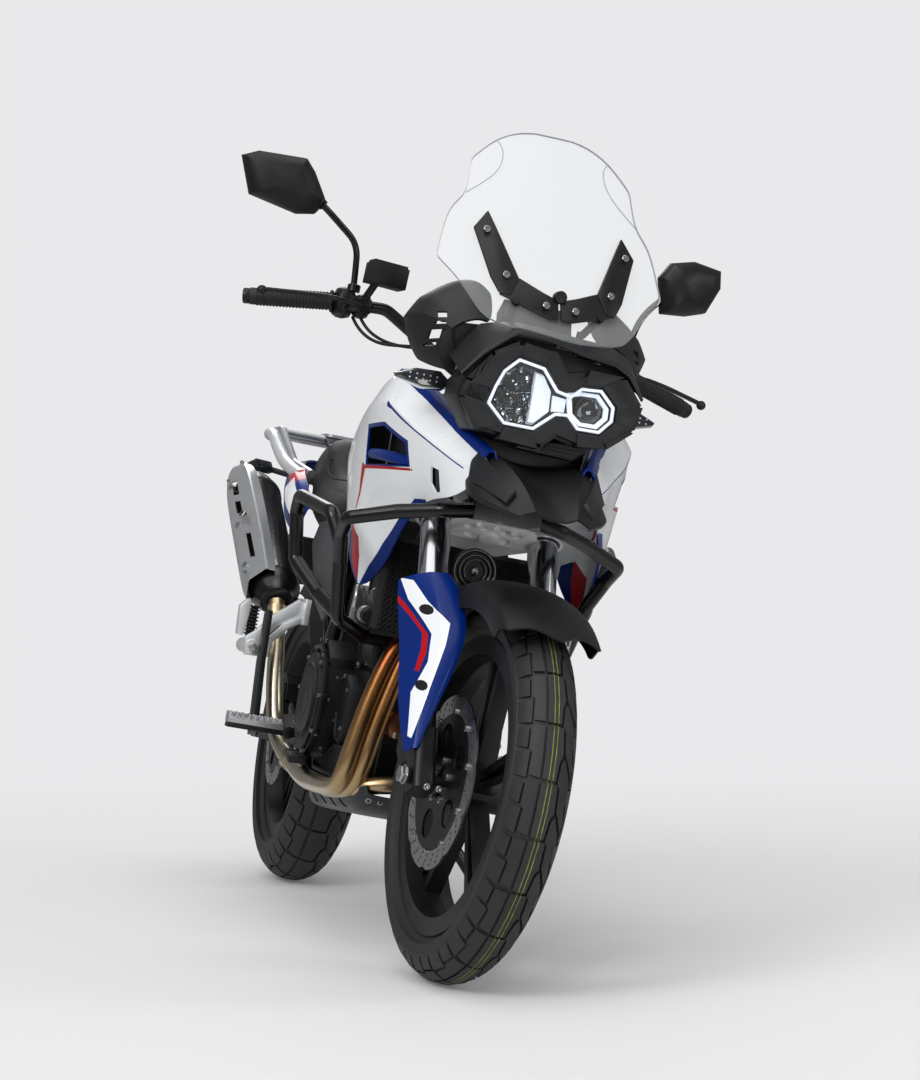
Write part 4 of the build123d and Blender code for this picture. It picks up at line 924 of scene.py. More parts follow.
# %% Fender
FENDER_GAP = 27.0
FENDER_RADIUS = FRONT_RADIUS + FENDER_GAP
FENDER_PROFILE = ((0, 4), (30, 2), (62, -4), (82, -16), (88, -30), (85, -58))  # x and distance from the radius
FENDER_ANGLES = (38, 34, 24, 10, -6, -22, -36, -40)  # ahead of the crown is positive
rows = []
for turn in FENDER_ANGLES:
    row = []
    for step, (x, out) in enumerate(FENDER_PROFILE):
        lean = turn + (5 if turn > 30 else 0) * (step == 0) - (4 if turn > 30 else 0) * (step >= 4)
        flare = 1.0 + 0.02 * (turn > 20) * (step >= 3)
        radius = FENDER_RADIUS + out
        row.append(
            (-x * flare, FRONT_AXLE.y - radius * sin(radians(lean)), FRONT_AXLE.z + radius * cos(radians(lean)))
        )
    rows.append(row)
fender = skin(rows, sharp=(3,), levels=2, facing=(0, 0, 1))
modify(fender, "SOLIDIFY", thickness=3.5, offset=-1)
settle(fender, "front_fender_moulding", "steering", black_trim, ("front_fender",))

# %% [markdown]
# The disc is laser-cut stainless steel with a waved rim and rows of drilled holes, riveted to a dark
# carrier. A flat ring is cut with boolean holes, because each hole must be truly open.

# %% Brake discs
carrier_grey = finish("hard_anodised_disc_carrier", "#2c2d2f", "#343537", 0.38, 1.0, 0.02, metallic=1.0)


def ring_plate(radius, hole, thickness, waves=0, depth=0.0):
    """A flat ring, optionally with a waved outer edge."""
    plate = start("circle", vertices=180, radius=hole)
    bpy.ops.object.mode_set(mode="EDIT")
    bpy.ops.mesh.select_all(action="SELECT")
    bpy.ops.mesh.extrude_edges_move()
    bpy.ops.transform.resize(value=(radius / hole, radius / hole, 1))
    bpy.ops.object.mode_set(mode="OBJECT")
    for vertex in plate.data.vertices:
        place = vertex.co
        if waves and place.length > radius - 1:
            vertex.co = place * (1 - depth / radius * max(0.0, cos(waves * atan2(place.y, place.x))) ** 3)
    modify(plate, "SOLIDIFY", thickness=thickness, offset=0)
    return plate


def drill(piece, holes):
    """Cuts round holes, given as (x, y, radius), through a flat piece."""
    drills = []
    for x, y, radius in holes:
        drills.append(rod(radius, 40, (x, y, 0), sides=12))
    tool = joined(drills)
    modify(piece, "BOOLEAN", operation="DIFFERENCE", object=tool, solver="EXACT")
    bpy.data.objects.remove(tool)


def around(radius, count, phase=0.0):
    """Places evenly round a circle."""
    return [
        (radius * cos(2 * pi * k / count + phase), radius * sin(2 * pi * k / count + phase)) for k in range(count)
    ]


def socket_screw():
    """A cap screw 10 mm across with a hexagonal socket, modelled once at the origin."""
    screw = rod(5, 5, (0, 0, 2.5), sides=18)
    bpy.ops.object.transform_apply(location=True)
    choose("faces", lambda face: face.normal.z > 0.9)
    bpy.ops.mesh.inset(thickness=0.7)
    bpy.ops.transform.translate(value=(0, 0, 0.6))
    bpy.ops.mesh.inset(thickness=1.6)
    bpy.ops.mesh.extrude_region_move(TRANSFORM_OT_translate={"value": (0, 0, -2.6)})
    bpy.ops.object.mode_set(mode="OBJECT")
    return screw


SCREW = socket_screw()
SCREW.name = "screw_pattern"


def wave_disc(name, axle, x, radius, hole, body, replaced, waves, outward):
    """Rotor, carrier and buttons of one brake disc."""
    rotor = ring_plate(radius, hole, 4.5, waves, 5.0)
    holes = []
    for k in range(waves * 3):
        turn = 2 * pi * k / (waves * 3)
        for offset, distance in ((0.0, radius - 8.5), (0.045, (radius + hole) / 2), (0.09, hole + 8)):
            holes.append((distance * cos(turn + offset), distance * sin(turn + offset), 2.7))
    drill(rotor, holes)
    coat(rotor, disc_steel)
    carrier = ring_plate(hole + 4, 27, 4.0)
    drill(carrier, [(*place, (hole - 46) * 0.36) for place in around((hole + 34) / 2 + 2, 5, 0.3)])
    coat(carrier, carrier_grey)
    # the buttons stand low enough to pass between the two halves of the caliper
    buttons = [((*place, 0.3), (0, 0, 1), 1.15) for place in around(hole + 3, 10)]
    hub_screws = [((*place, 1.5), (0, 0, 1), 1.2) for place in around(36, 5)]
    buttons = stamped(SCREW, buttons + hub_screws)
    coat(buttons, zinc_bolt)
    disc = joined([rotor, carrier, buttons])
    disc.rotation_euler = (0, -pi / 2 if outward < 0 else pi / 2, 0)
    disc.location = (x, axle.y, axle.z)
    return settle(disc, name, body, None, replaced, angle=30)


wave_disc("front_wave_disc", FRONT_AXLE, -62, 149, 117, "front_wheel", ("front_disc",), 10, -1)
wave_disc("rear_wave_disc", REAR_AXLE, -72, 119, 91, "rear_wheel", ("rear_disc",), 8, -1)

# %% [markdown]
# The livery is film under the lacquer. The tape follows the folds: a white panel fills the outer
# facet, a red line runs down its rear edge, and two black circles paint the shade in the two screw recesses.

# %% Guards are masked, painted and given their wall
GUARD_PAINT = (  # outlines seen from the front as x and z, and their paint
    (
        (
            (-166, 652), (-151, 652), (-132, 622), (-120, 609), (-99, 592), (-102, 553), (-130, 390), (-134, 392),
            (-137, 465), (-122, 521), (-122, 568), (-133, 586), (-154, 618)
        ),
        white_lacquer
    ),
    (
        (
            (-170, 626), (-158, 613), (-138, 583), (-126, 566), (-125, 535), (-131, 502), (-136, 502), (-132, 540),
            (-133, 566), (-146, 586), (-164, 610), (-172, 618)
        ),
        red_lacquer
    ),
    # painted shade: two black circles stand for the dark inside the two screw recesses
    ([(-132 + 9 * cos(k * pi / 5), 607 + 9 * sin(k * pi / 5)) for k in range(10)], cast_black),
    ([(-126 + 8 * cos(k * pi / 5), 480 + 9 * sin(k * pi / 5)) for k in range(10)], cast_black),
)
for outline, paint in GUARD_PAINT:
    mask_off(guards, outline, "front", paint)
modify(guards, "SOLIDIFY", thickness=3.0, offset=-1)
settle(guards, "fork_guard_mouldings", "steering", None, ("fork_guards",), angle=50)
print("front end:", PIECES[-4:])

# %% [markdown]
# ## The beak
#
# Below the lamps a short black beak pokes out over the wheel. Its middle is a shallow valley
# between two raised cheeks, so the grid has a crease along each cheek.

# %% Beak
BEAK_ROWS = (  # y, how far the middle sits to the left, then (x, z) from the middle out and down the edge
    (-585, 6, (0, 890), (29, 893), (66, 900), (87, 888), (95, 862), (93, 846)),
    (-660, 6, (0, 884), (32, 888), (74, 896), (96, 888), (106, 850), (104, 834)),
    (-730, 8, (0, 868), (36, 876), (80, 892), (99, 884), (119, 832), (115, 818)),
    (-782, 10, (0, 842), (32, 852), (62, 870), (93, 852), (121, 812), (116, 802)),
    (-832, 13, (0, 812), (26, 820), (46, 838), (74, 822), (99, 800), (94, 793)),
    (-876, 15, (0, 790), (21, 791), (36, 799), (51, 793), (62, 787), (58, 782)),
)
beak = skin(
    [
        [(shift - x, y, z) for x, z in points[::-1]] + [(shift + x, y, z) for x, z in points[1:]]
        for y, shift, *points in BEAK_ROWS
    ],
    sharp=(1, 3, 7, 9),
    levels=2,
    mirrored=False,
    facing=(0, -0.3, 1),
    taut=True,
)
modify(beak, "SOLIDIFY", thickness=4.0, offset=-1)
settle(beak, "beak_moulding", "chassis", black_trim, ("beak",), angle=32)
cheeks = []
for side in (-1, 1):  # a raised triangle on each cheek
    corners = [
        (side * (x + 4) + 8, y - 5, z + 2)
        for x, y, z in ((104, -700, 868), (98, -722, 884), (56, -838, 826), (70, -846, 802), (114, -744, 834))
    ]
    cheek = start("circle", vertices=5, fill_type="NGON")
    for vertex, place in zip(cheek.data.vertices, corners):
        vertex.co = place
    modify(cheek, "SOLIDIFY", thickness=9.0, offset=0)
    cheeks.append(cheek)
settle(joined(cheeks), "beak_cheeks", "chassis", grey_trim, angle=30, bevel=1.5)

# %% [markdown]
# ## The lamps
#
# Two unequal octagons share one clear cover: a large one with three stacked chrome chambers, and a
# small one with a projector lens. A white light guide runs round both, and chunky black blocks frame
# them. The housing is one flat plate, the lamp opening is cut out of it, and everything else is
# set into that opening.

# %% Lamp outlines, as x and z on the machine's front
LAMP_PAIR = (
    (-106, 968), (-98, 1000), (-87, 1029), (-63, 1054), (-15, 1047), (14, 1014), (36, 1010), (52, 1026),
    (89, 1029), (117, 1003), (118, 977), (97, 952), (56, 951), (36, 970), (17, 968), (-17, 937), (-71, 937),
)
HOUSING = (
    (-150, 978), (-117, 1030), (-99, 1060), (-62, 1075), (0, 1075), (24, 1043), (53, 1041), (66, 1053),
    (124, 1051), (160, 1011), (152, 971), (108, 938), (62, 930), (20, 938), (-4, 917), (-70, 923), (-116, 928),
)


def about(outline, centre, scale):
    """An outline grown or shrunk about a point."""
    return [(centre[0] + (x - centre[0]) * scale, centre[1] + (z - centre[1]) * scale) for x, z in outline]


def inset_outline(outline, distance):
    """An outline moved inwards by a distance along the bisector at each corner."""
    moved = []
    for before, here, after in zip(outline[-1:] + outline[:-1], outline, outline[1:] + outline[:1]):
        one = (Vector(here) - Vector(before)).normalized()
        two = (Vector(after) - Vector(here)).normalized()
        normal = Vector((one.y + two.y, -one.x - two.x)).normalized()
        half = max(0.35, sqrt(max(0.0, (1 + one.dot(two)) / 2)))
        moved.append(tuple(Vector(here) + normal * distance / half))
    return moved


def band(outer, inner, y_back, y_front):
    """A frame between two outlines with the same number of corners."""
    frame_piece = start("circle", vertices=len(outer))
    for vertex, (x, z) in zip(frame_piece.data.vertices, outer):
        vertex.co = (x, y_front, z)
    bpy.ops.object.mode_set(mode="EDIT")
    bpy.ops.mesh.select_all(action="SELECT")
    bpy.ops.mesh.extrude_edges_move()
    edit = bmesh.from_edit_mesh(frame_piece.data)
    for vertex in [v for v in edit.verts if v.select]:
        nearest = min(
            range(len(outer)), key=lambda k: (Vector((outer[k][0], y_front, outer[k][1])) - vertex.co).length
        )
        vertex.co = (inner[nearest][0], y_front, inner[nearest][1])
    bmesh.update_edit_mesh(frame_piece.data)
    bpy.ops.object.mode_set(mode="OBJECT")
    modify(frame_piece, "SOLIDIFY", thickness=abs(y_front - y_back), offset=0)
    return frame_piece


BEHIND_BROW = (
    (-154, 1004), (-125, 1045), (-75, 1089), (-12, 1087), (45, 1074), (104, 1068), (131, 1055), (162, 1020),
    (158, 970), (112, 934), (62, 925), (20, 933), (-4, 912), (-70, 918), (-119, 925), (-156, 976),
)
housing = plate_across(BEHIND_BROW, -648, -90)
recess = plate_across(LAMP_PAIR, -700, -70)
modify(housing, "BOOLEAN", operation="DIFFERENCE", object=recess, solver="EXACT")
bpy.data.objects.remove(recess)
settle(housing, "lamp_housing", "chassis", black_trim, ("headlight",), angle=25, bevel=1.5)

# %% Blocks of the bezel
BEZEL_BLOCKS = (  # four corners of each block round the lamps, and how far it stands out
    (((-60, 1056), (-14, 1050), (-6, 1074), (-58, 1080)), 9),
    (((-90, 1034), (-64, 1058), (-66, 1082), (-108, 1056)), 4),
    (((-110, 1000), (-92, 1034), (-110, 1052), (-146, 1004)), 2),
    (((-108, 966), (-102, 996), (-146, 1000), (-152, 974)), 7),
    (((-74, 934), (-106, 962), (-150, 970), (-118, 922)), 9),
    (((-16, 934), (-70, 934), (-76, 912), (-6, 908)), 11),
    (((18, 966), (-12, 936), (0, 912), (34, 944)), 5),
    (((38, 966), (22, 966), (34, 944), (54, 934)), 3),
    (((96, 948), (56, 948), (60, 924), (112, 930)), 11),
    (((122, 976), (100, 950), (114, 930), (156, 966)), 6),
    (((121, 1004), (122, 978), (156, 970), (164, 1012)), 8),
    (((91, 1032), (120, 1006), (162, 1014), (128, 1054)), 5),
    (((54, 1030), (88, 1033), (124, 1056), (62, 1056)), 10),
    (((-11, 1046), (14, 1018), (34, 1016), (22, 1044), (-2, 1072)), 4),
    (((36, 1014), (50, 1030), (58, 1052), (24, 1044)), 2),
)
blocks = []
for corners, height in BEZEL_BLOCKS:
    block = plate_across(corners, -728, -22 - height, 0.985)
    blocks.append(block)
rim = band(list(HOUSING), inset_outline(list(LAMP_PAIR), -2.0), -736, -750)
bezel = joined(blocks + [rim])
settle(bezel, "lamp_bezel_blocks", "chassis", grey_trim, angle=25, bevel=1.6)

# %% Slats beside the large lamp, and the ribbed chin
slats = []
for step in range(3):
    x = -134 + step * 10
    slats.append(
        plate_across(
            [(x, 1006 + step * 9), (x + 4, 1004 + step * 9), (x + 12, 1028 + step * 9), (x + 8, 1032 + step * 8)],
            -752, -6
        )
    )
chin_plate = plate_across([(-40, 906), (62, 902), (92, 930), (30, 926), (-16, 918)], -700, -36)
slats.append(chin_plate)
for step in range(3):
    slats.append(
        plate_across(
            [
                (6 + step * 4, 907 + step * 7), (60 + step * 8, 905 + step * 7), (62 + step * 8, 909 + step * 7),
                (8 + step * 4, 911 + step * 7)
            ],
            -734, -6
        )
    )
settle(joined(slats), "lamp_slats_and_chin", "chassis", grey_trim, angle=25, bevel=0.8)

# %% [markdown]
# The light guide is the brightest thing on the machine: a frosted rod lit from its ends. The
# chambers are vacuum-metallised bowls, so they are mirrors that show the studio and one another.

# %% Light guide and lamp insides
def glowing(material):
    """Frosted acrylic lit from behind: even white with a trace of blue; on the lamp plates the same glow is painted
    reflection of bright chrome.
    """
    where = add_node(material, "ShaderNodeTexCoord").outputs["Object"]
    frost = add_node(material, "ShaderNodeTexNoise", {"Vector": where, "Scale": 60.0, "Detail": 2.0})
    tone = add_node(
        material,
        "ShaderNodeMix",
        {"Factor": frost.outputs["Fac"], "A": linear("#cfd8ea"), "B": linear("#f4f7ff")},
        data_type="RGBA",
    )
    return add_node(
        material,
        "ShaderNodeBsdfPrincipled",
        {
            "Base Color": tone.outputs["Result"],
            "Roughness": 0.4,
            "Emission Color": tone.outputs["Result"],
            "Emission Strength": 0.38,
        },
    )


acrylic_glow_and_painted_reflection = new_material("lit_frosted_acrylic", glowing)
chrome_bowl = finish(
    "vacuum_metallised_reflector", "#cdd2d8", "#c2c8cf", 0.08, 2.5, 0.15, metallic=1.0, uneven=0.03
)


pair = list(LAMP_PAIR)
guide = band(inset_outline(pair, 1.5), inset_outline(pair, 6.5), -746, -752)
settle(guide, "lamp_light_guide", "chassis", acrylic_glow_and_painted_reflection, angle=30, bevel=1.2)

CHAMBERS = (  # outline of each chamber's mouth
    ((-88, 1004), (-76, 1026), (-58, 1041), (-34, 1038), (-30, 1008), (-52, 1000)),
    ((-92, 976), (-90, 998), (-54, 996), (-30, 1003), (-28, 982), (-56, 974)),
    ((-88, 966), (-66, 948), (-34, 947), (-28, 976), (-54, 970)),
)
bowls = []
for mouth in CHAMBERS:
    bowl = plate_across(mouth, -742, 26, 0.62)
    choose("faces", lambda face: middle(face).y < -741)
    bpy.ops.mesh.delete(type="FACE")
    bpy.ops.mesh.select_all(action="SELECT")
    bpy.ops.mesh.subdivide(number_cuts=1)
    bpy.ops.object.mode_set(mode="OBJECT")
    bowls.append(bowl)
gem = start("ico_sphere", subdivisions=1, radius=5)  # the cut facets that make a chamber sparkle
gem.scale = (1, 0.6, 1)
bpy.ops.object.transform_apply(scale=True)
facets = []
for k in range(42):
    x, z = -84 + (k * 37 % 58), 946 + (k * 53 % 92)
    if any(inside((x, z), mouth) for mouth in CHAMBERS):
        facets.append(((x, -724 - k % 3 * 3, z), (k % 5 - 2, k % 3 - 1, 3), 0.5 + k % 4 * 0.28))
bowls.append(stamped(gem, facets))
bpy.data.objects.remove(gem)
settle(joined(bowls), "lamp_chambers", "chassis", chrome_bowl, angle=20)

back = plate_across(inset_outline(pair, 2.0), -722, -4)
settle(back, "lamp_back_wall", "chassis", gloss_black, angle=20)

# painted reflection: glowing plates stand for the bright chrome in one half of the big lamp and round the small one
reflection_glow_plate = plate_across([(-27, 1038), (-12, 1036), (6, 1010), (8, 974), (-16, 948), (-27, 948)], -728, -12, 0.92)
small = [(30, 1012), (52, 1018), (86, 1020), (108, 999), (109, 980), (93, 961), (60, 960), (38, 976)]
frame_small = band(about(small, (71, 990), 0.98), about(small, (71, 990), 0.76), -736, -744)
bridge = plate_across([(10, 1004), (34, 1002), (34, 978), (12, 976)], -730, -10, 0.94)
settle(
    joined([reflection_glow_plate, frame_small, bridge]), "lamp_diffusers", "chassis", acrylic_glow_and_painted_reflection, angle=30,
    bevel=0.8
)

projector = start("uv_sphere", segments=40, ring_count=20, radius=25, location=(74, -728, 990))
choose("faces", lambda face: middle(face).y > -10)
bpy.ops.mesh.delete(type="FACE")
bpy.ops.mesh.select_all(action="SELECT")
bpy.ops.transform.resize(value=(1, 0.62, 1))
bpy.ops.object.mode_set(mode="OBJECT")
projector_glass = finish("moulded_projector_glass", "#14171c", "#1c2027", 0.04, 3.0, 0.0, coat=1.0, uneven=0.01)
settle(projector, "lamp_projector", "chassis", projector_glass, angle=60)
shade = plate_across([(50, 1000), (60, 1008), (76, 1008), (76, 996), (66, 996), (66, 974), (50, 978)], -744, -3)
settle(shade, "lamp_projector_shade", "chassis", gloss_black, angle=25, bevel=0.6)

cover = plate_across(inset_outline(pair, -1.0), -753, -4, 0.97)
settle(cover, "lamp_cover", "chassis", clear_lens, ("headlight_lens",), angle=25, bevel=1.5)
print("lamps:", PIECES[-9:])

# %% [markdown]
# ## The screen and its brackets
#
# The tall screen is thermoformed from a 4 mm sheet: it is curved across and has a waisted outline
# with two shallow notches near the top.

# %% Screen
SCREEN_OUTLINE = (  # z and half width of each corner, from the lower edge up
    (1097, 40), (1101, 84), (1111, 128), (1148, 150), (1182, 174), (1206, 199), (1214, 204), (1223, 202),
    (1262, 195), (1304, 184),
    (1324, 168), (1342, 156), (1375, 151), (1404, 148), (1411, 145), (1432, 126), (1452, 106), (1466, 84),
    (1476, 60), (1480, 34),
)


def on_screen(x, z, lift=0.0):
    """A point on the curved sheet, or in front of it by the lift."""
    return (x, -746 + (z - 1100) * 0.72 + 0.0012 * x * x - lift, z)


screen = skin(
    [[on_screen(-half * share, z) for share in (0, 0.25, 0.5, 0.75, 1.0)] for z, half in SCREEN_OUTLINE],
    levels=2,
    facing=(0, -1, 0.5),
    taut=True,
)
sawn_edge = finish("sawn_polycarbonate_edge", "#a9aeb2", "#989da1", 0.35, 1.0, 0.02)
screen.data.materials.append(clear_screen)
screen.data.materials.append(sawn_edge)
modify(screen, "SOLIDIFY", thickness=4.0, offset=0, material_offset_rim=1)
settle(screen, "screen_sheet", "chassis", None, ("windscreen",), angle=30)

# the upper corners are stepped forward; the step shows as one fine line on each side
steps = []
for side in (-1, 1):
    steps.append(
        round_tube(
            [
                on_screen(side * x, z, 2.0)
                for x, z in ((157, 1340), (128, 1364), (104, 1390), (92, 1420), (96, 1446), (105, 1452))
            ],
            1.8, 8
        )
    )
settle(joined(steps), "screen_steps", "chassis", sawn_edge, angle=60)

# %% Screen brackets
arms = []
for side in (-1, 1):
    outline = [
        (side * x, z)
        for x, z in ((146, 1275), (122, 1311), (108, 1280), (70, 1192), (86, 1158), (104, 1160), (118, 1186))
    ]
    arms.append(prism(outline, lambda x, z: on_screen(x, z, 14), (0, 10, 0), 0.99))
    arms.append(round_tube([(side * 66, -650, 1124), (side * 72, -684, 1140), (side * 76, -716, 1152)], 14))
    arms.append(
        prism(
            [
                (side * x, z)
                for x, z in ((104, 1158), (70, 1194), (30, 1176), (2, 1166), (2, 1130), (24, 1130), (88, 1152))
            ],
            lambda x, z: on_screen(x, z, 12), (0, 9, 0)
        )
    )
arms.append(rod(11, 20, on_screen(0, 1172, 12), FORWARDS, sides=24))
settle(
    joined(arms), "screen_bracket_arms", "chassis", black_trim, ("screen_bracket",), angle=30,
    bevel=2.0
)
settle(
    stamped(
        SCREW,
        [
            (on_screen(side * x, z, 15), (0, -1, 0.3), 1.25)
            for side in (-1, 1) for x, z in ((126, 1272), (94, 1193), (26, 1150))
        ]
    ),
    "screen_bracket_screws", "chassis", zinc_bolt
)

# %% [markdown]
# ## The cockpit cowl
#
# Two dark wings flank the lamps and carry the screen. Each has a ladder of small slots.

# %% Cowl
COWL_ROWS = (  # y, then (x, z) from the inner edge over the crown and shoulder to the lower edge
    (-490, (80, 1158), (104, 1180), (150, 1178), (198, 1142), (216, 1112), (202, 1072), (180, 1044)),
    (-530, (84, 1182), (108, 1201), (150, 1194), (202, 1150), (221, 1114), (206, 1070), (184, 1038)),
    (-570, (86, 1174), (110, 1192), (148, 1182), (192, 1146), (211, 1116), (198, 1064), (168, 1028)),
    (-610, (88, 1138), (108, 1152), (140, 1146), (172, 1128), (191, 1110), (176, 1056), (148, 1022)),
    (-650, (98, 1112), (112, 1118), (130, 1114), (148, 1104), (162, 1092), (152, 1050), (136, 1024)),
)
cowl = skin([[(-x, y, z) for x, z in points] for y, *points in COWL_ROWS], sharp=(3, 4), levels=2)
for low, high in ((1108, 1121), (1096, 1103), (1071, 1088), (1059, 1066)):  # the ladder of slots
    left = -190 + (low - 1059) * 0.14
    mask_off(
        cowl, ((left + 14, high), (left, high - 2), (left, low), (left + 14, low + 2)), "front",
        only=lambda c: c.y > -660
    )
modify(cowl, "SOLIDIFY", thickness=4.0, offset=-1)
settle(cowl, "cowl_wings", "chassis", grey_trim, ("cockpit_cowl",), angle=32)

BROW_ROWS = (  # from the rear edge to the lip over the lamps, each from the machine's right to its left
    (
        (-158, -640, 1048), (-118, -660, 1108), (-62, -682, 1120), (-4, -694, 1116), (56, -692, 1112),
        (110, -680, 1112), (156, -660, 1096), (180, -640, 1050)
    ),
    (
        (-160, -700, 1030), (-122, -708, 1088), (-70, -718, 1112), (-10, -724, 1108), (50, -722, 1098),
        (106, -716, 1098), (148, -706, 1080), (174, -700, 1036)
    ),
    (
        (-158, -748, 1012), (-128, -754, 1053), (-76, -758, 1098), (-12, -758, 1096), (44, -758, 1083),
        (106, -758, 1077), (136, -754, 1063), (166, -748, 1026)
    ),
    (
        (-154, -748, 1008), (-124, -754, 1047), (-74, -758, 1091), (-12, -758, 1089), (46, -758, 1076),
        (104, -758, 1070), (132, -754, 1057), (162, -748, 1022)
    ),
)
brow = skin(BROW_ROWS, sharp=(1, 2, 3, 4, 5, 6), levels=2, mirrored=False, facing=(0, -0.5, 1), taut=True)
modify(brow, "SOLIDIFY", thickness=4.0, offset=-1)
settle(brow, "lamp_brow", "chassis", grey_trim, angle=28)
plates = []
for side in (-1, 1):  # light plates that close the gap between cowl and brow
    plates.append(
        plate_across(
            [
                (side * x, z)
                for x, z in (
                    (176, 1036), (176, 1080), (150, 1104), (104, 1108), (104, 1084), (140, 1064), (140, 1030),
                    (150, 1024)
                )
            ],
            -646, 5
        )
    )
plates.append(plate_across([(-100, 850), (100, 850), (112, 940), (-112, 940)], -642, 5))
settle(joined(plates), "cowl_closing_panels", "chassis", black_trim, angle=30, bevel=1.0)
plates = []
for side in (-1, 1):
    plates.append(
        plate_across([(side * x, z) for x, z in ((144, 1022), (144, 1066), (98, 1078), (92, 1074))], -650, 3)
    )
plates.append(stamped(SCREW, [((side * 130, -651, 1057), (0, -1, 0), 1.4) for side in (-1, 1)]))
settle(joined(plates), "cowl_bracket_plates", "chassis", blasted, angle=30, bevel=0.6)
print("cockpit:", PIECES[-3:])

# %% [markdown]
# ## Tank and side shrouds
#
# The shrouds are the machine's face from the side: a flat band runs forward and down from the tank to
# the beak, folds over, and falls away to a spear in front of the engine. Rows measured along the
# machine give the folds, and a mask paints the trim colours before the sheet gets its wall.

# %% Tank
TANK_ROWS = (  # y, then (x, z) round the right half from the underside to the top
    (-262, ((0, 850), (50, 852), (112, 884), (118, 930), (70, 972), (0, 978))),
    (-236, ((0, 836), (64, 834), (152, 878), (160, 924), (96, 990), (0, 998))),
    (-150, ((0, 806), (120, 802), (180, 868), (182, 920), (108, 1002), (0, 1011))),
    (-20, ((0, 790), (126, 786), (174, 852), (174, 902), (104, 1000), (0, 1010))),
    (70, ((0, 784), (104, 782), (140, 832), (140, 876), (84, 944), (0, 950))),
    (130, ((0, 788), (76, 786), (102, 816), (102, 850), (58, 878), (0, 884))),
)


def loop(y, half):
    """A closed section from one half of it, which starts and ends on the middle plane."""
    return [(-x, y, z) for x, z in half] + [(x, y, z) for x, z in half[-2:0:-1]]


tank = drawn([loop(y, half) for y, half in TANK_ROWS], levels=2)
tank.data.materials.append(white_lacquer)
settle(tank, "tank_shell", "chassis", white_lacquer, ("fuel_tank",), angle=50)

# %% Shroud
SHROUD_ROWS = (  # y, then (x, z): inner lip, top edge, fold, side, lower edge
    (-112, (158, 926), (176, 922), (192, 900), (194, 866), (186, 824)),
    (-180, (156, 962), (184, 958), (201, 922), (203, 850), (192, 766)),
    (-250, (150, 992), (188, 988), (208, 946), (208, 830), (188, 690)),
    (-318, (144, 1008), (190, 1008), (213, 960), (207, 810), (180, 634)),
    (-345, (140, 1012), (190, 1014), (214, 962), (205, 816), (163, 642)),
    (-400, (130, 1014), (186, 1022), (214, 966), (202, 836), (147, 686)),
    (-475, (122, 996), (170, 998), (208, 962), (192, 866), (150, 752)),
    (-550, (108, 964), (147, 962), (186, 926), (168, 866), (136, 797)),
    (-620, (94, 934), (124, 930), (152, 896), (142, 852), (127, 804)),
    (-690, (80, 906), (106, 902), (122, 870), (120, 838), (116, 806)),
    (-740, (64, 878), (82, 874), (88, 860), (90, 850), (90, 842)),
)
shroud = skin([[(-x, y, z) for x, z in points] for y, *points in SHROUD_ROWS], sharp=(1, 2), levels=3, taut=True)
shroud.data.materials.append(white_lacquer)


def on_lip(place):
    """True inside the line of the top edge, where the shroud turns in under the lamps."""
    for (y_rear, _, rear, *_), (y_front, _, front, *_) in zip(SHROUD_ROWS, SHROUD_ROWS[1:]):
        if y_front <= place.y <= y_rear:
            share = (place.y - y_rear) / (y_front - y_rear)
            return place.y < -400 and abs(place.x) < rear[0] + (front[0] - rear[0]) * share - 3 and place.z > 874
    return False


finish_faces(shroud, blue_lacquer, lambda face: on_lip(middle(face)))
SHROUD_PAINT = (  # outlines seen from the side as y and z, and their paint; None cuts the sheet away
    (
        (
            (-446, 966), (-475, 955), (-550, 922), (-620, 892), (-702, 858), (-702, 855.5), (-620, 889),
            (-550, 918.5), (-475, 949), (-450, 955)
        ),
        blue_lacquer
    ),
    (((-334, 926), (-444, 928), (-538, 896), (-534, 852), (-342, 848), (-338, 914)), blue_lacquer),
    (
        (
            (-318, 858), (-342, 852), (-534, 850), (-534, 845.5), (-342, 846), (-322, 800), (-296, 770),
            (-292, 774), (-314, 804)
        ),
        red_lacquer
    ),
    (((-342, 919), (-441, 921), (-528, 891), (-528, 853), (-430, 854), (-346, 854)), None),
    (((-608, 856), (-634, 850), (-631, 814), (-611, 812), (-598, 827)), None),
    (
        (
            (-566, 800), (-530, 800), (-508, 787), (-470, 765), (-440, 744), (-400, 718), (-352, 676), (-324, 640),
            (-322, 600), (-400, 600), (-570, 770)
        ),
        blue_lacquer
    ),
    (((-228, 742), (-262, 752), (-320, 724), (-324, 690), (-316, 636), (-320, 610), (-228, 650)), blue_lacquer),
    (((-266, 756), (-320, 722), (-324, 690), (-314, 646), (-284, 676), (-270, 710)), red_lacquer),
)
for outline, paint in SHROUD_PAINT:
    mask_off(shroud, outline, "side", paint)
OUTWARD = (
    (-112, 0), (-250, 18), (-345, 34), (-400, 40), (-475, 38), (-550, 30), (-620, 22), (-690, 17), (-752, 13)
)


def further_out(y):
    """How far the left shroud stands out beyond the right one at a place along the machine."""
    for (y_rear, rear), (y_front, front) in zip(OUTWARD, OUTWARD[1:]):
        if y_front <= y <= y_rear:
            return rear + (front - rear) * (y - y_rear) / (y_front - y_rear)
    return 0.0


for vertex in shroud.data.vertices:
    if vertex.co.x > 0:
        vertex.co.x += further_out(vertex.co.y) * (1 + max(0, 930 - vertex.co.z) / 210)
modify(shroud, "SOLIDIFY", thickness=3.5, offset=-1)
settle(shroud, "shroud_mouldings", "chassis", None, ("shrouds",), angle=40)

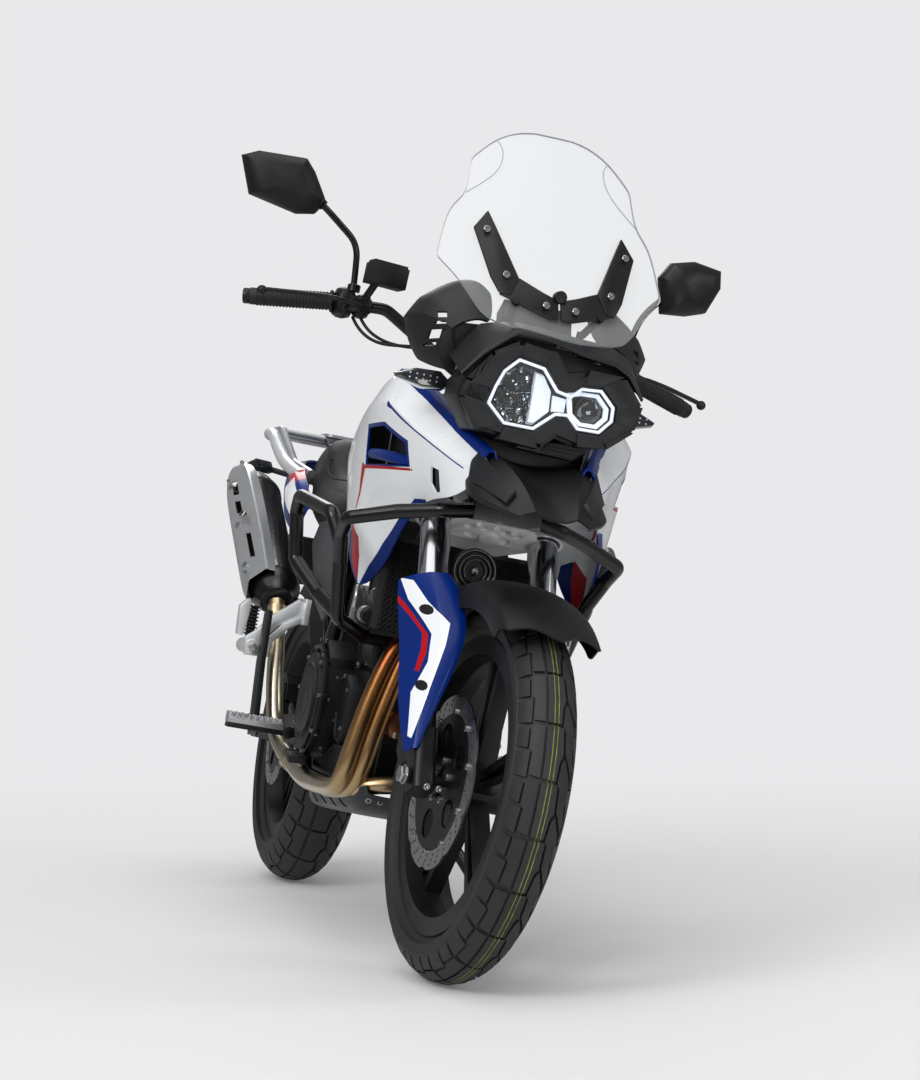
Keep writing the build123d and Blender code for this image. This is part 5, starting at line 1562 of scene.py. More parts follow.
# %% Blue rails along the top edges, and the dark ducts behind the openings
rails = []
for side in (-1, 1):
    rows = []
    for y, x, z in (
        (-384, 187, 1022), (-430, 180, 1014), (-475, 170, 998), (-550, 147, 962), (-620, 124, 930),
        (-690, 106, 902), (-748, 91, 881)
    ):
        outward = further_out(y) if side > 0 else 0
        rows.append([(side * (x + a + outward), y, z + b) for a, b in ((2, -3), (-7, 10), (-17, 12), (-25, -4))])
    rails.append(skin(rows, sharp=(1, 2), levels=2, mirrored=False, facing=(side * 0.3, -1, 0.6), taut=True))
rails = joined(rails)
modify(rails, "SOLIDIFY", thickness=3.0, offset=-1)
settle(rails, "shroud_top_rails", "chassis", blue_lacquer, angle=35)
ducts = [
    plate_beside([(-324, 930), (-450, 932), (-545, 900), (-540, 846), (-330, 846)], side * 160, side * 4)
    for side in (-1, 1)
]
ducts += [
    plate_across([(side * 204, 832), (side * 160, 832), (side * 160, 950), (side * 196, 950)], -300, 4)
    for side in (-1, 1)
]
settle(joined(ducts), "shroud_ducts", "chassis", black_trim, angle=30, bevel=1.0)
settle(
    stamped(SCREW, [((-122, -652, 887), (-0.9, -0.4, 0.3), 0.9), ((142, -652, 887), (0.9, -0.4, 0.3), 0.9)]),
    "shroud_band_screws", "chassis", zinc_bolt
)

# %% [markdown]
# ## The seat
#
# The seat is foam under grained vinyl, in two steps. It starts as a body drawn from section to
# section, is remeshed to an even skin, and is then blown up a little by the cloth solver, so that the
# panels crown between their edges as a stretched cover does.

# %% A padded piece
SWELLING_FRAMES = 16
SEAT_ROWS = (  # y, half width low, z low, half width at the seam, z of the seam, half width on top, z of the top
    (104, 70, 772, 84, 806, 56, 862),
    (144, 112, 742, 124, 790, 84, 860),
    (200, 140, 716, 152, 772, 106, 850),
    (280, 152, 722, 164, 776, 120, 850),
    (350, 156, 744, 167, 790, 128, 856),
    (405, 152, 772, 162, 808, 126, 878),
    (436, 148, 800, 156, 846, 122, 916),
    (480, 142, 808, 150, 852, 120, 937),
    (560, 134, 822, 142, 858, 112, 944),
    (625, 118, 838, 124, 866, 98, 940),
    (662, 90, 848, 96, 872, 74, 922),
)


def puffed(piece, voxel, pressure, cap):
    """Remeshes a closed piece and lets the cloth solver swell it, no point further than the cap."""
    deselect_all()
    piece.select_set(True)
    bpy.context.view_layer.objects.active = piece
    modify(piece, "REMESH", mode="VOXEL", voxel_size=voxel)
    before = [vertex.co.copy() for vertex in piece.data.vertices]
    # the solver works in metres, so the piece is brought to real size for it
    piece.data.transform(Matrix.Scale(0.001, 4))
    cloth = piece.modifiers.new("cloth", "CLOTH")
    cloth.settings.use_pressure = True
    cloth.settings.uniform_pressure_force = pressure
    cloth.settings.effector_weights.gravity = 0
    cloth.settings.quality = 6
    cloth.point_cache.frame_end = SWELLING_FRAMES
    scene = bpy.context.scene
    for step in range(1, SWELLING_FRAMES + 1):
        scene.frame_set(step)
    bpy.ops.object.modifier_apply(modifier="cloth")
    scene.frame_set(1)
    piece.data.transform(Matrix.Scale(1000, 4))
    for vertex, origin in zip(piece.data.vertices, before):
        move = vertex.co - origin
        if move.length > cap:
            vertex.co = origin + move.normalized() * cap
    return piece


rows = []
for y, low, z_low, side, z_side, top, z_top in SEAT_ROWS:
    rows.append(
        loop(y, ((0, z_low), (low, z_low), (side, z_side), (top, z_top), (top * 0.5, z_top + 5), (0, z_top + 6)))
    )
seat = drawn(rows, levels=2, crease=(2, 8))
puffed(seat, 7.0, 3.0, 6.0)
modify(seat, "SMOOTH", iterations=3, factor=0.5)

piping = []
for side in (-1, 1):
    edge = [
        (side * (top + (wide - top) * 0.12 + 1), y, z_top - 1)
        for y, low, z_low, wide, z_side, top, z_top in SEAT_ROWS
    ]
    piping.append(round_tube(edge, 3.2, 8))
    lower = [(side * (wide + 1.5), y, z_side) for y, low, z_low, wide, z_side, top, z_top in SEAT_ROWS]
    piping.append(round_tube(lower, 3.0, 8))
for y, height, wide in ((426, 902, 125), (648, 932, 86)):
    piping.append(
        round_tube(
            [
                (-wide, y, height - 8), (-wide * 0.6, y - 2, height + 4), (0, y - 4, height + 8),
                (wide * 0.6, y - 2, height + 4), (wide, y, height - 8)
            ],
            3.0, 8
        )
    )
settle(joined(piping), "seat_seams", "chassis", grip_rubber, angle=60)
settle(seat, "seat_cushion", "chassis", seat_vinyl, ("seat",), angle=60)

# %% [markdown]
# ## Tail, side panels and the blue accent tube
#
# The tail panels hang under the seat and carry the livery backwards. The side panels are plain grey
# mouldings with a pressed border, made from a plate whose face is inset and pushed in.

# %% Tail
TAIL_ROWS = (  # y, then (x, z) of four points from the upper edge to the lower edge
    (296, (170, 786), (178, 780), (190, 744), (188, 722)),
    (350, (172, 826), (188, 820), (206, 780), (202, 740)),
    (410, (172, 850), (190, 844), (210, 806), (204, 768)),
    (470, (166, 868), (186, 862), (206, 830), (198, 800)),
    (560, (152, 886), (170, 880), (188, 856), (180, 828)),
    (640, (130, 898), (146, 892), (160, 872), (152, 850)),
    (720, (96, 904), (108, 900), (120, 884), (116, 864)),
    (792, (0, 900), (40, 898), (62, 884), (60, 866)),
)
tail = skin([[(-x, y, z) for x, z in points] for y, *points in TAIL_ROWS], sharp=(1,), levels=2, taut=True)
tail.data.materials.append(blue_lacquer)
TAIL_BANDS = (  # outlines seen from the side, and their paint
    (((400, 850), (560, 900), (560, 872), (400, 822)), red_lacquer),
    (((318, 792), (430, 846), (452, 812), (330, 756)), white_lacquer),
)
for outline, paint in TAIL_BANDS:
    mask_off(tail, outline, "side", paint)
modify(tail, "SOLIDIFY", thickness=3.5, offset=-1)
settle(tail, "tail_mouldings", "chassis", None, ("tail_fairing",), angle=40)

# %% Side panels
SIDE_OUTLINE = ((-60, 742), (10, 764), (150, 762), (262, 758), (312, 716), (180, 600), (60, 560), (-20, 620))
side_grey = finish("mid_grey_polypropylene", "#3c3d40", "#45464a", 0.45, 0.9, 0.08, ior=1.4)
panels = []
for side in (-1, 1):
    panel = plate_beside(SIDE_OUTLINE, side * 146, side * 8, 0.985)
    choose("faces", lambda face, side=side: face.normal.x * side > 0.9)
    bpy.ops.mesh.inset(thickness=13)
    bpy.ops.transform.translate(value=(side * -3, 0, 0))
    bpy.ops.mesh.inset(thickness=3)
    bpy.ops.transform.translate(value=(side * 3.5, 0, 0))
    bpy.ops.object.mode_set(mode="OBJECT")
    panels.append(panel)
    panels.append(plate_beside([(-30, 700), (20, 740), (60, 740), (30, 680)], side * 126, side * 20.2))
settle(
    joined(panels), "side_panel_mouldings", "chassis", side_grey, ("side_panels",), angle=30,
    bevel=2.0
)

# %% Accent tubes that bridge the opening between tank and shroud
accents = []
for side in (-1, 1):
    accents.append(
        round_tube(
            [
                (side * 180, -290, 876), (side * 199, -330, 875), (side * 194, -430, 871), (side * 174, -490, 864),
                (side * 148, -528, 858)
            ],
            21, 24
        )
    )
settle(joined(accents), "accent_tubes", "chassis", blue_lacquer, angle=60)
print("body:", PIECES[-8:])

# %% [markdown]
# ## Mirrors
#
# Each mirror is a faceted shell on a bent stem with a rubber boot. The shell starts as a flat plate of
# the measured outline; extruding it back while shrinking gives the wedge, and an inset at the rear
# takes the glass.

# %% Mirrors
MIRROR_HEADS = (  # corners of each mirror's rear edge as x and z, and the stem's points
    (
        (
            (-530, 1338), (-504, 1352), (-416, 1360), (-396, 1339), (-364, 1290), (-379, 1266), (-412, 1258),
            (-502, 1272)
        ),
        (
            (-273, -252, 1150), (-276, -250, 1184), (-284, -252, 1236), (-330, -266, 1262), (-371, -282, 1284),
            (-402, -286, 1298)
        ),
    ),
    (
        ((296, 1322), (315, 1355), (361, 1370), (421, 1367), (428, 1334), (407, 1280), (369, 1265), (315, 1256)),
        (
            (273, -252, 1150), (276, -250, 1184), (282, -252, 1230), (296, -262, 1262), (318, -274, 1290),
            (334, -280, 1306)
        ),
    ),
)
shells, stems = [], []
for outline, stem in MIRROR_HEADS:
    centre = (sum(p[0] for p in outline) / 8, sum(p[1] for p in outline) / 8)
    shell = prism(
        list(outline), lambda x, z: (x, -256 - (x - centre[0]) * 0.12 * (1 if centre[0] < 0 else -1), z),
        (0, -16, 0), 0.98
    )
    choose("faces", lambda face: face.normal.y < -0.8)
    for push, shrink in ((-10, 0.9), (-10, 0.72), (-4, 0.4)):
        bpy.ops.mesh.extrude_region_move(TRANSFORM_OT_translate={"value": (0, push, -1)})
        bpy.ops.transform.resize(value=(shrink, 1, shrink))
    coat(shell, black_trim, mirror_glass)
    choose("faces", lambda face: face.normal.y > 0.8)
    bpy.ops.mesh.inset(thickness=5)
    bpy.ops.mesh.extrude_region_move(TRANSFORM_OT_translate={"value": (0, -2.5, 0)})
    shell.active_material_index = 1
    bpy.ops.object.material_slot_assign()
    bpy.ops.object.mode_set(mode="OBJECT")
    shells.append(shell)
    stems.append(round_tube(list(stem), 12, 16))
    stems.append(stamped(SCREW, [(stem[0], (0, 0, 1), 2.4)]))
    boot = []
    for step in range(6):
        place = Vector(stem[-1]).lerp(Vector(stem[-2]), step / 5.0)
        along = (Vector(stem[-2]) - Vector(stem[-1])).to_track_quat("Z", "Y").to_euler()
        boot.append(hoop(7.5, 2.6, place, along, 24, 8))
    stems += boot
settle(joined(shells), "mirror_shells", "steering", None, ("mirrors",), angle=32, bevel=3.0)
settle(joined(stems), "mirror_stems", "steering", powder_black, angle=40)

# %% [markdown]
# ## Grips, levers and switches
#
# Grip rubber is ribbed so that a glove holds. Every rib is one ring of a spun tube. Levers are forged
# blades with a ball at the end; the switch housings are two moulded halves round the bar.

# %% Grips
BAR_ENDS = {  # inner and outer end of each grip
    -1: ((-300, -232, 1126), (-440, -176, 1104)),
    1: ((300, -232, 1126), (440, -176, 1104)),
}
grips, ends = [], []
for side, (inner, outer) in BAR_ENDS.items():
    inner, outer = Vector(inner), Vector(outer)
    along = (outer - inner).normalized()
    turn = along.to_track_quat("Z", "Y").to_euler()
    length = (outer - inner).length
    grip = rod(15.6, length, (inner + outer) / 2, turn)
    grips.append(grip)
    for step in range(22):
        place = inner + along * (12 + step * (length - 26) / 21)
        grips.append(hoop(15.4, 1.9, place, turn, 32, 6))
    grips.append(hoop(17.5, 3.4, inner + along * 3, turn, 32, 8))
    end = rod(14.5, 13, outer + along * 6.5, turn)
    ends.append(end)
settle(joined(grips), "ribbed_grips", "steering", grip_rubber, ("grips",), angle=45)
settle(joined(ends), "bar_end_weights", "steering", cast_black, angle=40, bevel=2.5)

# %% Levers, switch housings, brake reservoir and short cable stubs
parts = []
for side in (-1, 1):
    lever_points = ((262, -278, 1128), (300, -292, 1129), (352, -284, 1124), (441, -258, 1110))
    pivot, root, knee, tip = (Vector((side * x, y, z)) for x, y, z in lever_points)
    lever = round_tube([pivot, root, knee, (knee + tip) / 2, tip], 11, 16)
    choose("verts", lambda vertex: True)
    bpy.ops.transform.resize(value=(1, 1, 0.8))
    bpy.ops.object.mode_set(mode="OBJECT")
    parts.append(lever)
    parts.append(start("uv_sphere", segments=24, ring_count=12, radius=9, location=tip))
    perch = prism(
        [(-22, -20), (20, -20), (24, 6), (14, 20), (-20, 20)],
        lambda a, b, side=side: (side * (262 + a), -262 + b * 0.9, 1114), (0, 0, 26), 0.96
    )
    parts.append(perch)
    for k, (x, depth, height) in enumerate(((282, 30, 44), (250, 22, 34))):
        housing = start("cube", size=1, location=(side * x, -234 - k * 12, 1128))
        housing.scale = (24 - k * 4, depth + 14, height)
        bpy.ops.object.transform_apply(location=True, scale=True)
        choose("faces", lambda face: True)
        bpy.ops.mesh.subdivide(number_cuts=2, smoothness=0.6)
        bpy.ops.object.mode_set(mode="OBJECT")
        parts.append(housing)
    parts.append(rod(7, 10, (side * 276, -262, 1140), FORWARDS, sides=20))
settle(
    joined(parts), "levers_and_switches", "steering", cast_black, ("hand_controls",), angle=35,
    bevel=1.6
)

reservoir = start("cube", size=1, location=(-232, -300, 1186))
reservoir.scale = (70, 46, 38)
bpy.ops.object.transform_apply(location=True, scale=True)
choose("faces", lambda face: face.normal.z > 0.9)
bpy.ops.mesh.inset(thickness=3)
bpy.ops.mesh.extrude_region_move(TRANSFORM_OT_translate={"value": (0, 0, 5)})
bpy.ops.mesh.inset(thickness=6)
bpy.ops.mesh.extrude_region_move(TRANSFORM_OT_translate={"value": (0, 0, -2)})
bpy.ops.object.mode_set(mode="OBJECT")
neck = round_tube([(-246, -296, 1172), (-250, -284, 1156), (-256, -270, 1134)], 14, 16)
settle(joined([reservoir, neck]), "brake_reservoir", "steering", black_trim, angle=30, bevel=2.2)
settle(
    stamped(SCREW, [((x, y, 1204), (0, 0, 1), 0.7) for x in (-260, -204) for y in (-316, -284)]),
    "reservoir_screws", "steering", zinc_bolt
)

stubs = []
for x, drop in ((-250, 0), (-262, -6), (250, 0)):
    side = -1 if x < 0 else 1
    stubs.append(
        round_tube(
            [
                (x, -246, 1112 + drop), (x - side * 10, -262, 1090 + drop), (x - side * 46, -276, 1072 + drop),
                (x - side * 92, -286, 1072), (x - side * 120, -292, 1078)
            ],
            6, 12
        )
    )
settle(joined(stubs), "switch_leads", "steering", grip_rubber, angle=60)
print("controls:", PIECES[-7:])

# %% [markdown]
# ## Instruments and indicators
#
# The instrument is a black panel behind the screen with a flat glass face towards the rider. The
# indicators are arrowheads under smoked lenses, dotted with small lamps.

# %% Instrument panel
dash = plate_beside([(-606, 1104), (-552, 1094), (-534, 1146), (-572, 1168)], -62, 124, 1.0)
coat(dash, black_trim, smoked_lens)
choose("faces", lambda face: face.normal.y > 0.8)
bpy.ops.mesh.inset(thickness=8)
bpy.ops.mesh.extrude_region_move(TRANSFORM_OT_translate={"value": (0, -2, 0)})
dash.active_material_index = 1
bpy.ops.object.material_slot_assign()
bpy.ops.object.mode_set(mode="OBJECT")
feet = joined([round_tube([(side * 40, -632, 1084), (side * 40, -590, 1108)], 12, 12) for side in (-1, 1)])
coat(feet, black_trim)
settle(
    joined([dash, feet]), "instrument_panel", "chassis", None, ("dashboard",), angle=30, bevel=2.0
)

# %% Front indicators
bodies, lamps = [], []
for side in (-1, 1):
    body = prism(
        [(132, 1000), (150, 986), (190, 984), (234, 996), (238, 1003), (200, 1018), (158, 1020)],
        lambda x, z, side=side: (side * x, -592, z), (0, -30, 0), 0.86
    )
    bodies.append(body)
    bodies.append(round_tube([(side * 112, -600, 1004), (side * 136, -606, 1004)], 13, 12))
    for column in range(5):
        for row in range(2):
            lamps.append(((side * (166 + column * 12), -622, 998 + row * 8), (0, -1, 0), 0.34))
settle(
    joined(bodies), "indicator_bodies", "chassis", smoked_lens, ("front_indicators",), angle=30,
    bevel=2.0
)
settle(stamped(SCREW, lamps), "indicator_lamps", "chassis", blasted)
print("instruments:", PIECES[-3:])

# %% [markdown]
# ## Engine
#
# The castings are painted black and every cover is held by small plated screws, which are what the
# eye finds in the dark. The clutch cover is a shallow cylinder stepped by insets; the covers above it
# are bevelled plates with a raised rim.

# %% Covers
def stepped_cover(x, y, z, radius, steps, side):
    """A round cover facing sideways: each step insets the face and moves it outwards or back."""
    cover = rod(radius, 10, (x + side * 5, y, z), SIDEWAYS, sides=64)
    bpy.ops.object.transform_apply(location=True, rotation=True)
    choose("faces", lambda face: face.normal.x * side > 0.9)
    for inward, outward in steps:
        bpy.ops.mesh.inset(thickness=inward)
        bpy.ops.mesh.extrude_region_move(TRANSFORM_OT_translate={"value": (side * outward, 0, 0)})
    bpy.ops.object.mode_set(mode="OBJECT")
    return cover


def cast_plate(outline, x_from, x_to, shrink, rim=6.0, sink=3.0):
    """A cover seen from the side, with a raised rim round a sunk field."""
    plate = plate_beside(outline, x_from, x_to - x_from, shrink)
    side = 1 if x_to > x_from else -1
    choose("faces", lambda face: face.normal.x * side > 0.9)
    bpy.ops.mesh.inset(thickness=rim)
    bpy.ops.mesh.extrude_region_move(TRANSFORM_OT_translate={"value": (-side * sink, 0, 0)})
    bpy.ops.object.mode_set(mode="OBJECT")
    return plate


castings = [
    stepped_cover(-160, -30, 410, 108, ((5, -3), (9, 6), (22, 5), (4, -3), (14, 0.5), (22, 3), (6, -2)), -1),
    stepped_cover(156, -130, 390, 92, ((6, -3), (8, 6), (26, 4), (4, -3), (20, 3)), 1),
    cast_plate(
        [(-78, 376), (-100, 420), (-108, 500), (-64, 534), (-6, 532), (30, 500), (26, 452), (-16, 520)], -112, -158,
        0.94
    ),
    cast_plate(
        [(-196, 340), (-232, 366), (-236, 452), (-184, 478), (-112, 470), (-122, 400), (-150, 348)], -108, -136,
        0.92
    ),
    cast_plate([(10, 360), (30, 470), (112, 440), (138, 330), (96, 300), (30, 300)], -110, -150, 0.9),
    cast_plate(
        [(-230, 300), (-236, 344), (-150, 344), (-90, 322), (20, 300), (20, 284), (-190, 282)], -110, -132, 0.95, 5,
        2
    ),
    cast_plate([(-250, 490), (-258, 560), (-250, 604), (-130, 604), (-112, 500)], -98, -112, 0.94, 8, 4),
    cast_plate(
        [(-266, 620), (-274, 690), (-250, 716), (-160, 720), (-140, 650), (-140, 624)], -98, -118, 0.92, 7, 3
    ),
    cast_plate([(-250, 490), (-258, 604), (-130, 604), (-112, 500)], 98, 112, 0.94, 8, 4),
    cast_plate([(-266, 620), (-274, 690), (-250, 716), (-160, 720), (-140, 624)], 98, 118, 0.92, 7, 3),
]
for step in range(7):  # cooling ribs across the front of the cylinder
    z = 494 + step * 16
    castings.append(plate_level([(-104, -262), (104, -262), (104, -244), (-104, -244)], z, 4))
for k in range(9):  # bosses round the clutch cover
    angle = 2 * pi * k / 9 + 0.2
    castings.append(rod(8, 14, (-163, -30 + 101 * cos(angle), 410 + 101 * sin(angle)), SIDEWAYS, sides=16))
castings.append(rod(15, 18, (-150, 40, 490), SIDEWAYS, sides=24))
settle(joined(castings), "engine_covers", "chassis", engine_black, angle=32, bevel=1.6)

# %% Screws, clamps and drain plugs
SIDE_SCREWS = (  # x, y and z of screws on the right of the engine
    (-166, -88, 500), (-158, -60, 528), (-158, -8, 528), (-158, 22, 494), (-124, -100, 487), (-150, -133, 420),
    (-169, -94, 395),
    (-133, -130, 383), (-118, -128, 376), (-160, -118, 352), (-118, -114, 348), (-112, -157, 354), (-142, -96, 328),
    (-133, -69, 314), (-112, -138, 334), (-112, -92, 300), (-138, -224, 374), (-138, -228, 446), (-138, -186, 470),
    (-138, -118, 462),
    (-152, 34, 458), (-152, 108, 430), (-152, 130, 336), (-152, 96, 306), (-114, -244, 500), (-114, -246, 594),
    (-114, -140, 594),
    (-120, -262, 688), (-120, -244, 710), (-120, -168, 712), (-120, -152, 654), (-120, -260, 634),
)
screws = [((x - 1, y, z), (-1, 0, 0), 0.72) for x, y, z in SIDE_SCREWS]
screws += [
    ((-170, -30 + 101 * cos(2 * pi * k / 9 + 0.2), 410 + 101 * sin(2 * pi * k / 9 + 0.2)), (-1, 0, 0), 0.8)
    for k in range(9)
]
screws += [((165, -130 + 84 * cos(pi * k / 4), 390 + 84 * sin(pi * k / 4)), (1, 0, 0), 0.8) for k in range(8)]
screws += [((114, y, z), (1, 0, 0), 0.8) for y, z in ((-244, 500), (-246, 594), (-140, 594), (-128, 510))]
screws += [((x, -284, z), (0, -1, 0), 0.8) for x in (-70, 0, 70) for z in (500, 700)]
settle(stamped(SCREW, screws), "engine_screws", "chassis", zinc_bolt)

# the two hoses of the radiator, with a worm clamp at each end
hoses, clamps = [], []
for side, low, high in ((-1, 585, 560), (1, 700, 668)):
    line = [
        (side * 150, -350, low), (side * 156, -306, low + 6), (side * 148, -262, high + 24),
        (side * 116, -236, high + 8), (side * 84, -224, high)
    ]
    hoses.append(round_tube(line, 27, 20))
    for a, b in ((line[0], line[1]), (line[3], line[4])):
        place = Vector(a).lerp(Vector(b), 0.5)
        turn = (Vector(b) - Vector(a)).to_track_quat("Z", "Y").to_euler()
        clamps.append(rod(15.6, 11, place, turn))
settle(joined(hoses), "radiator_hoses", "chassis", grip_rubber, angle=60)
clamps.append(hoop(19, 5, (-160, -250, 616), (0.2, pi / 2, 0), 32, 10))
clamps.append(rod(11, 10, (-132, -286, 628), FORWARDS, sides=24))
clamps.append(plate_across([(-170, 560), (-150, 566), (-140, 620), (-152, 640), (-166, 616)], -262, 7))
settle(joined(clamps), "hose_clamps_and_bracket", "chassis", blasted, angle=40, bevel=0.6)

copper = finish("copper_plated_cap", "#9a6648", "#85563d", 0.38, 0.8, 0.03, metallic=1.0)
cap = start("uv_sphere", segments=32, ring_count=16, radius=27, location=(-47, -286, 398))
cap.scale = (1, 0.34, 1.05)
settle(cap, "copper_cap", "chassis", copper, angle=60)
print("engine:", PIECES[-5:])

# %% [markdown]
# ## Header pipes
#
# Stainless tube is bent on a mandrel, so its bends stay round. The tint comes from heat: brown
# close to the head and pale straw near the collector.

# %% Header pipes
pipes = [
    round_tube(
        [
            (-44, -262, 640), (-44, -318, 628), (-64, -342, 590), (-100, -348, 520), (-122, -348, 440),
            (-138, -346, 352), (-143, -342, 312), (-146, -320, 276), (-148, -270, 268), (-151, -180, 264),
            (-156, -50, 262), (-164, 50, 284), (-172, 140, 304), (-186, 176, 340), (-198, 206, 430),
            (-200, 240, 510), (-206, 292, 584)
        ],
        34, 28
    ),
    round_tube(
        [
            (10, -262, 640), (4, -314, 626), (-30, -340, 600), (-68, -346, 540), (-86, -347, 470),
            (-103, -346, 390), (-112, -344, 330), (-116, -326, 286), (-128, -290, 268), (-148, -230, 264)
        ],
        34, 28
    ),
    round_tube(
        [
            (52, -262, 640), (60, -318, 616), (74, -340, 560), (60, -346, 430), (20, -346, 330), (-30, -346, 296),
            (-84, -342, 288), (-118, -310, 274), (-146, -240, 264)
        ],
        32, 28
    ),
]
for place, turn in (((-44, -280, 638), (pi / 2 - 0.2, 0, 0)), ((10, -280, 638), (pi / 2 - 0.2, 0, 0))):
    pipes.append(rod(26, 9, place, turn))
for place, toward in (((-165, 60, 287), (-172, 140, 304)), ((-204, 280, 562), (-206, 292, 590))):
    turn = (Vector(toward) - Vector(place)).to_track_quat("Z", "Y").to_euler()
    pipes.append(rod(20.5, 26, place, turn))
settle(joined(pipes), "header_pipes", "chassis", header_steel, ("exhaust_headers",), angle=50)

# %% [markdown]
# ## Radiator, horn and skid plate
#
# Behind a black mesh guard the core is a plain block. The horn is a stack of pressed rings.
# The skid plate is one sheet folded up along each side, with slanted slots that drain it.

# %% Radiator guard and horn
guard_mesh = start("grid", x_subdivisions=30, y_subdivisions=16, size=1)
choose("faces", lambda face: True)
bpy.ops.mesh.poke()
bpy.ops.object.mode_set(mode="OBJECT")
for vertex in guard_mesh.data.vertices:
    vertex.co = (vertex.co.x * 284, -383.5, 647 + vertex.co.y * 168)
modify(guard_mesh, "WIREFRAME", thickness=2.6)
tanks = [guard_mesh]
for side in (-1, 1):
    tanks.append(
        plate_level(
            [(side * 138, -385), (side * 152, -380), (side * 152, -362), (side * 138, -356)], 566, 160, 0.98
        )
    )
    tanks.append(round_tube([(side * 88, -362, 640), (side * 88, -330, 640)], 14, 16))
for z in (556, 727):
    tanks.append(plate_level([(-146, -386), (146, -386), (146, -358), (-146, -358)], z, 7.5))
tanks.append(plate_level([(-142, -378), (142, -378), (142, -362), (-142, -362)], 562, 168))
tanks.append(rod(38, 30, (-8, -470, 696), FORWARDS, sides=48))
tanks.append(plate_level([(-18, -456), (2, -456), (2, -384), (-18, -384)], 690, 12))
settle(joined(tanks), "radiator_mesh_and_tanks", "chassis", black_trim, ("radiator",), angle=30)

horn = []
for radius, y, thick in ((37, -487, 3.4), (28, -489, 2.4), (20, -490, 2.0)):
    horn.append(hoop(radius, thick, (-8, y, 696), FORWARDS, 48, 10))
settle(joined(horn), "horn_rings", "chassis", gloss_black, angle=60)
centre = start("uv_sphere", segments=24, ring_count=12, radius=8, location=(-8, -488, 696))
settle(centre, "horn_centre", "chassis", zinc_bolt, angle=60)

# %% Skid plate
SKID_ROWS = (  # y, then x and z from the middle out to the top of the folded side
    (-356, (0, 268), (60, 268), (92, 270), (98, 274), (102, 286)),
    (-340, (0, 244), (60, 244), (98, 247), (108, 256), (112, 280)),
    (-300, (0, 228), (60, 228), (106, 230), (117, 240), (123, 266)),
    (-200, (0, 221), (60, 221), (107, 223), (119, 231), (125, 258)),
    (-50, (0, 213), (60, 213), (107, 215), (119, 222), (124, 250)),
    (60, (0, 208), (60, 208), (104, 210), (116, 216), (121, 244)),
    (130, (0, 212), (50, 212), (90, 214), (102, 220), (106, 240)),
)
skid = skin(
    [[(-x, y, z) for x, z in points] for y, *points in SKID_ROWS], sharp=(2, 3), levels=2, facing=(0, 0, -1),
    taut=True
)
for step in range(5):  # drain slots in the folded side
    y, z = -292 + step * 84, 240 - step * 4
    mask_off(
        skid, ((y, z - 3), (y + 8, z - 6), (y + 66, z + 6), (y + 58, z + 9)), "side", only=lambda c: abs(c.x) > 114
    )
modify(skid, "SOLIDIFY", thickness=3.0, offset=-1)
plate_grey = finish("dark_powder_coated_plate", "#26282b", "#303236", 0.42, 1.6, 0.05, metallic=0.3)
settle(skid, "skid_plate_folded", "chassis", plate_grey, ("skid_plate",), angle=25)
settle(
    stamped(
        SCREW,
        [((x, -343, 262), (0, -0.8, -0.5), 1.2) for x in (-92, -70, 70, 92)] + [
            ((side * 141, y, 262), (side, 0, -0.3), 1.0) for side in (-1, 1) for y in (-296, -96)
        ]
    ),
    "skid_plate_screws", "chassis", zinc_bolt
)
print("lower front:", PIECES[-6:])

# %% [markdown]
# ## Small parts of the fork
#
# Pinch bolts, the axle's hexagon and the clamp rings are what make the fork look like a machine.

# %% Fork details
fork_bits = []
for side in (-1, 1):
    for height in (516, 668):
        turn = (-RAKE, 0, 0)
        fork_bits.append(hoop(28.2, 2.4, on_fork(side * 102, 0, height - 26), turn, 40, 8))
    fork_bits.append(hoop(27.6, 3.4, on_fork(side * 102, 0, 292), turn, 40, 8))
settle(joined(fork_bits), "fork_rings", "steering", cast_black, angle=60)

pinch = [
    (on_fork(side * 66, -44, 503 + step), (0, -cos(RAKE), sin(RAKE)), 1.2) for side in (-1, 1) for step in (-9, 9)
]
pinch += [(on_fork(side * 128, -18, 503), (side, -0.4, 0.2), 1.3) for side in (-1, 1)]
pinch += [(on_fork(side * 58, -40, 701), (0, -cos(RAKE), sin(RAKE)), 1.2) for side in (-1, 1)]
pinch += [((side * x, -747, 318), (0, -1, 0), 1.15) for side in (-1, 1) for x in (78, 100)]
pinch += [(on_fork(-106, depth, height), (-1, 0, 0), 1.1) for depth, height in ((70, 128), (118, 122), (24, 62))]
fork_screws = stamped(SCREW, pinch)
hexagon = rod(15, 10, (-136, -HALF_WHEELBASE, FRONT_RADIUS), SIDEWAYS, sides=6)
washer = rod(17, 3, (-131, -HALF_WHEELBASE, FRONT_RADIUS), SIDEWAYS)
left_end = rod(15, 8, (128, -HALF_WHEELBASE, FRONT_RADIUS), SIDEWAYS, sides=6)
settle(
    joined([fork_screws, hexagon, washer, left_end]), "fork_screws_and_axle_ends", "steering", zinc_bolt,
    angle=35, bevel=0.5
)

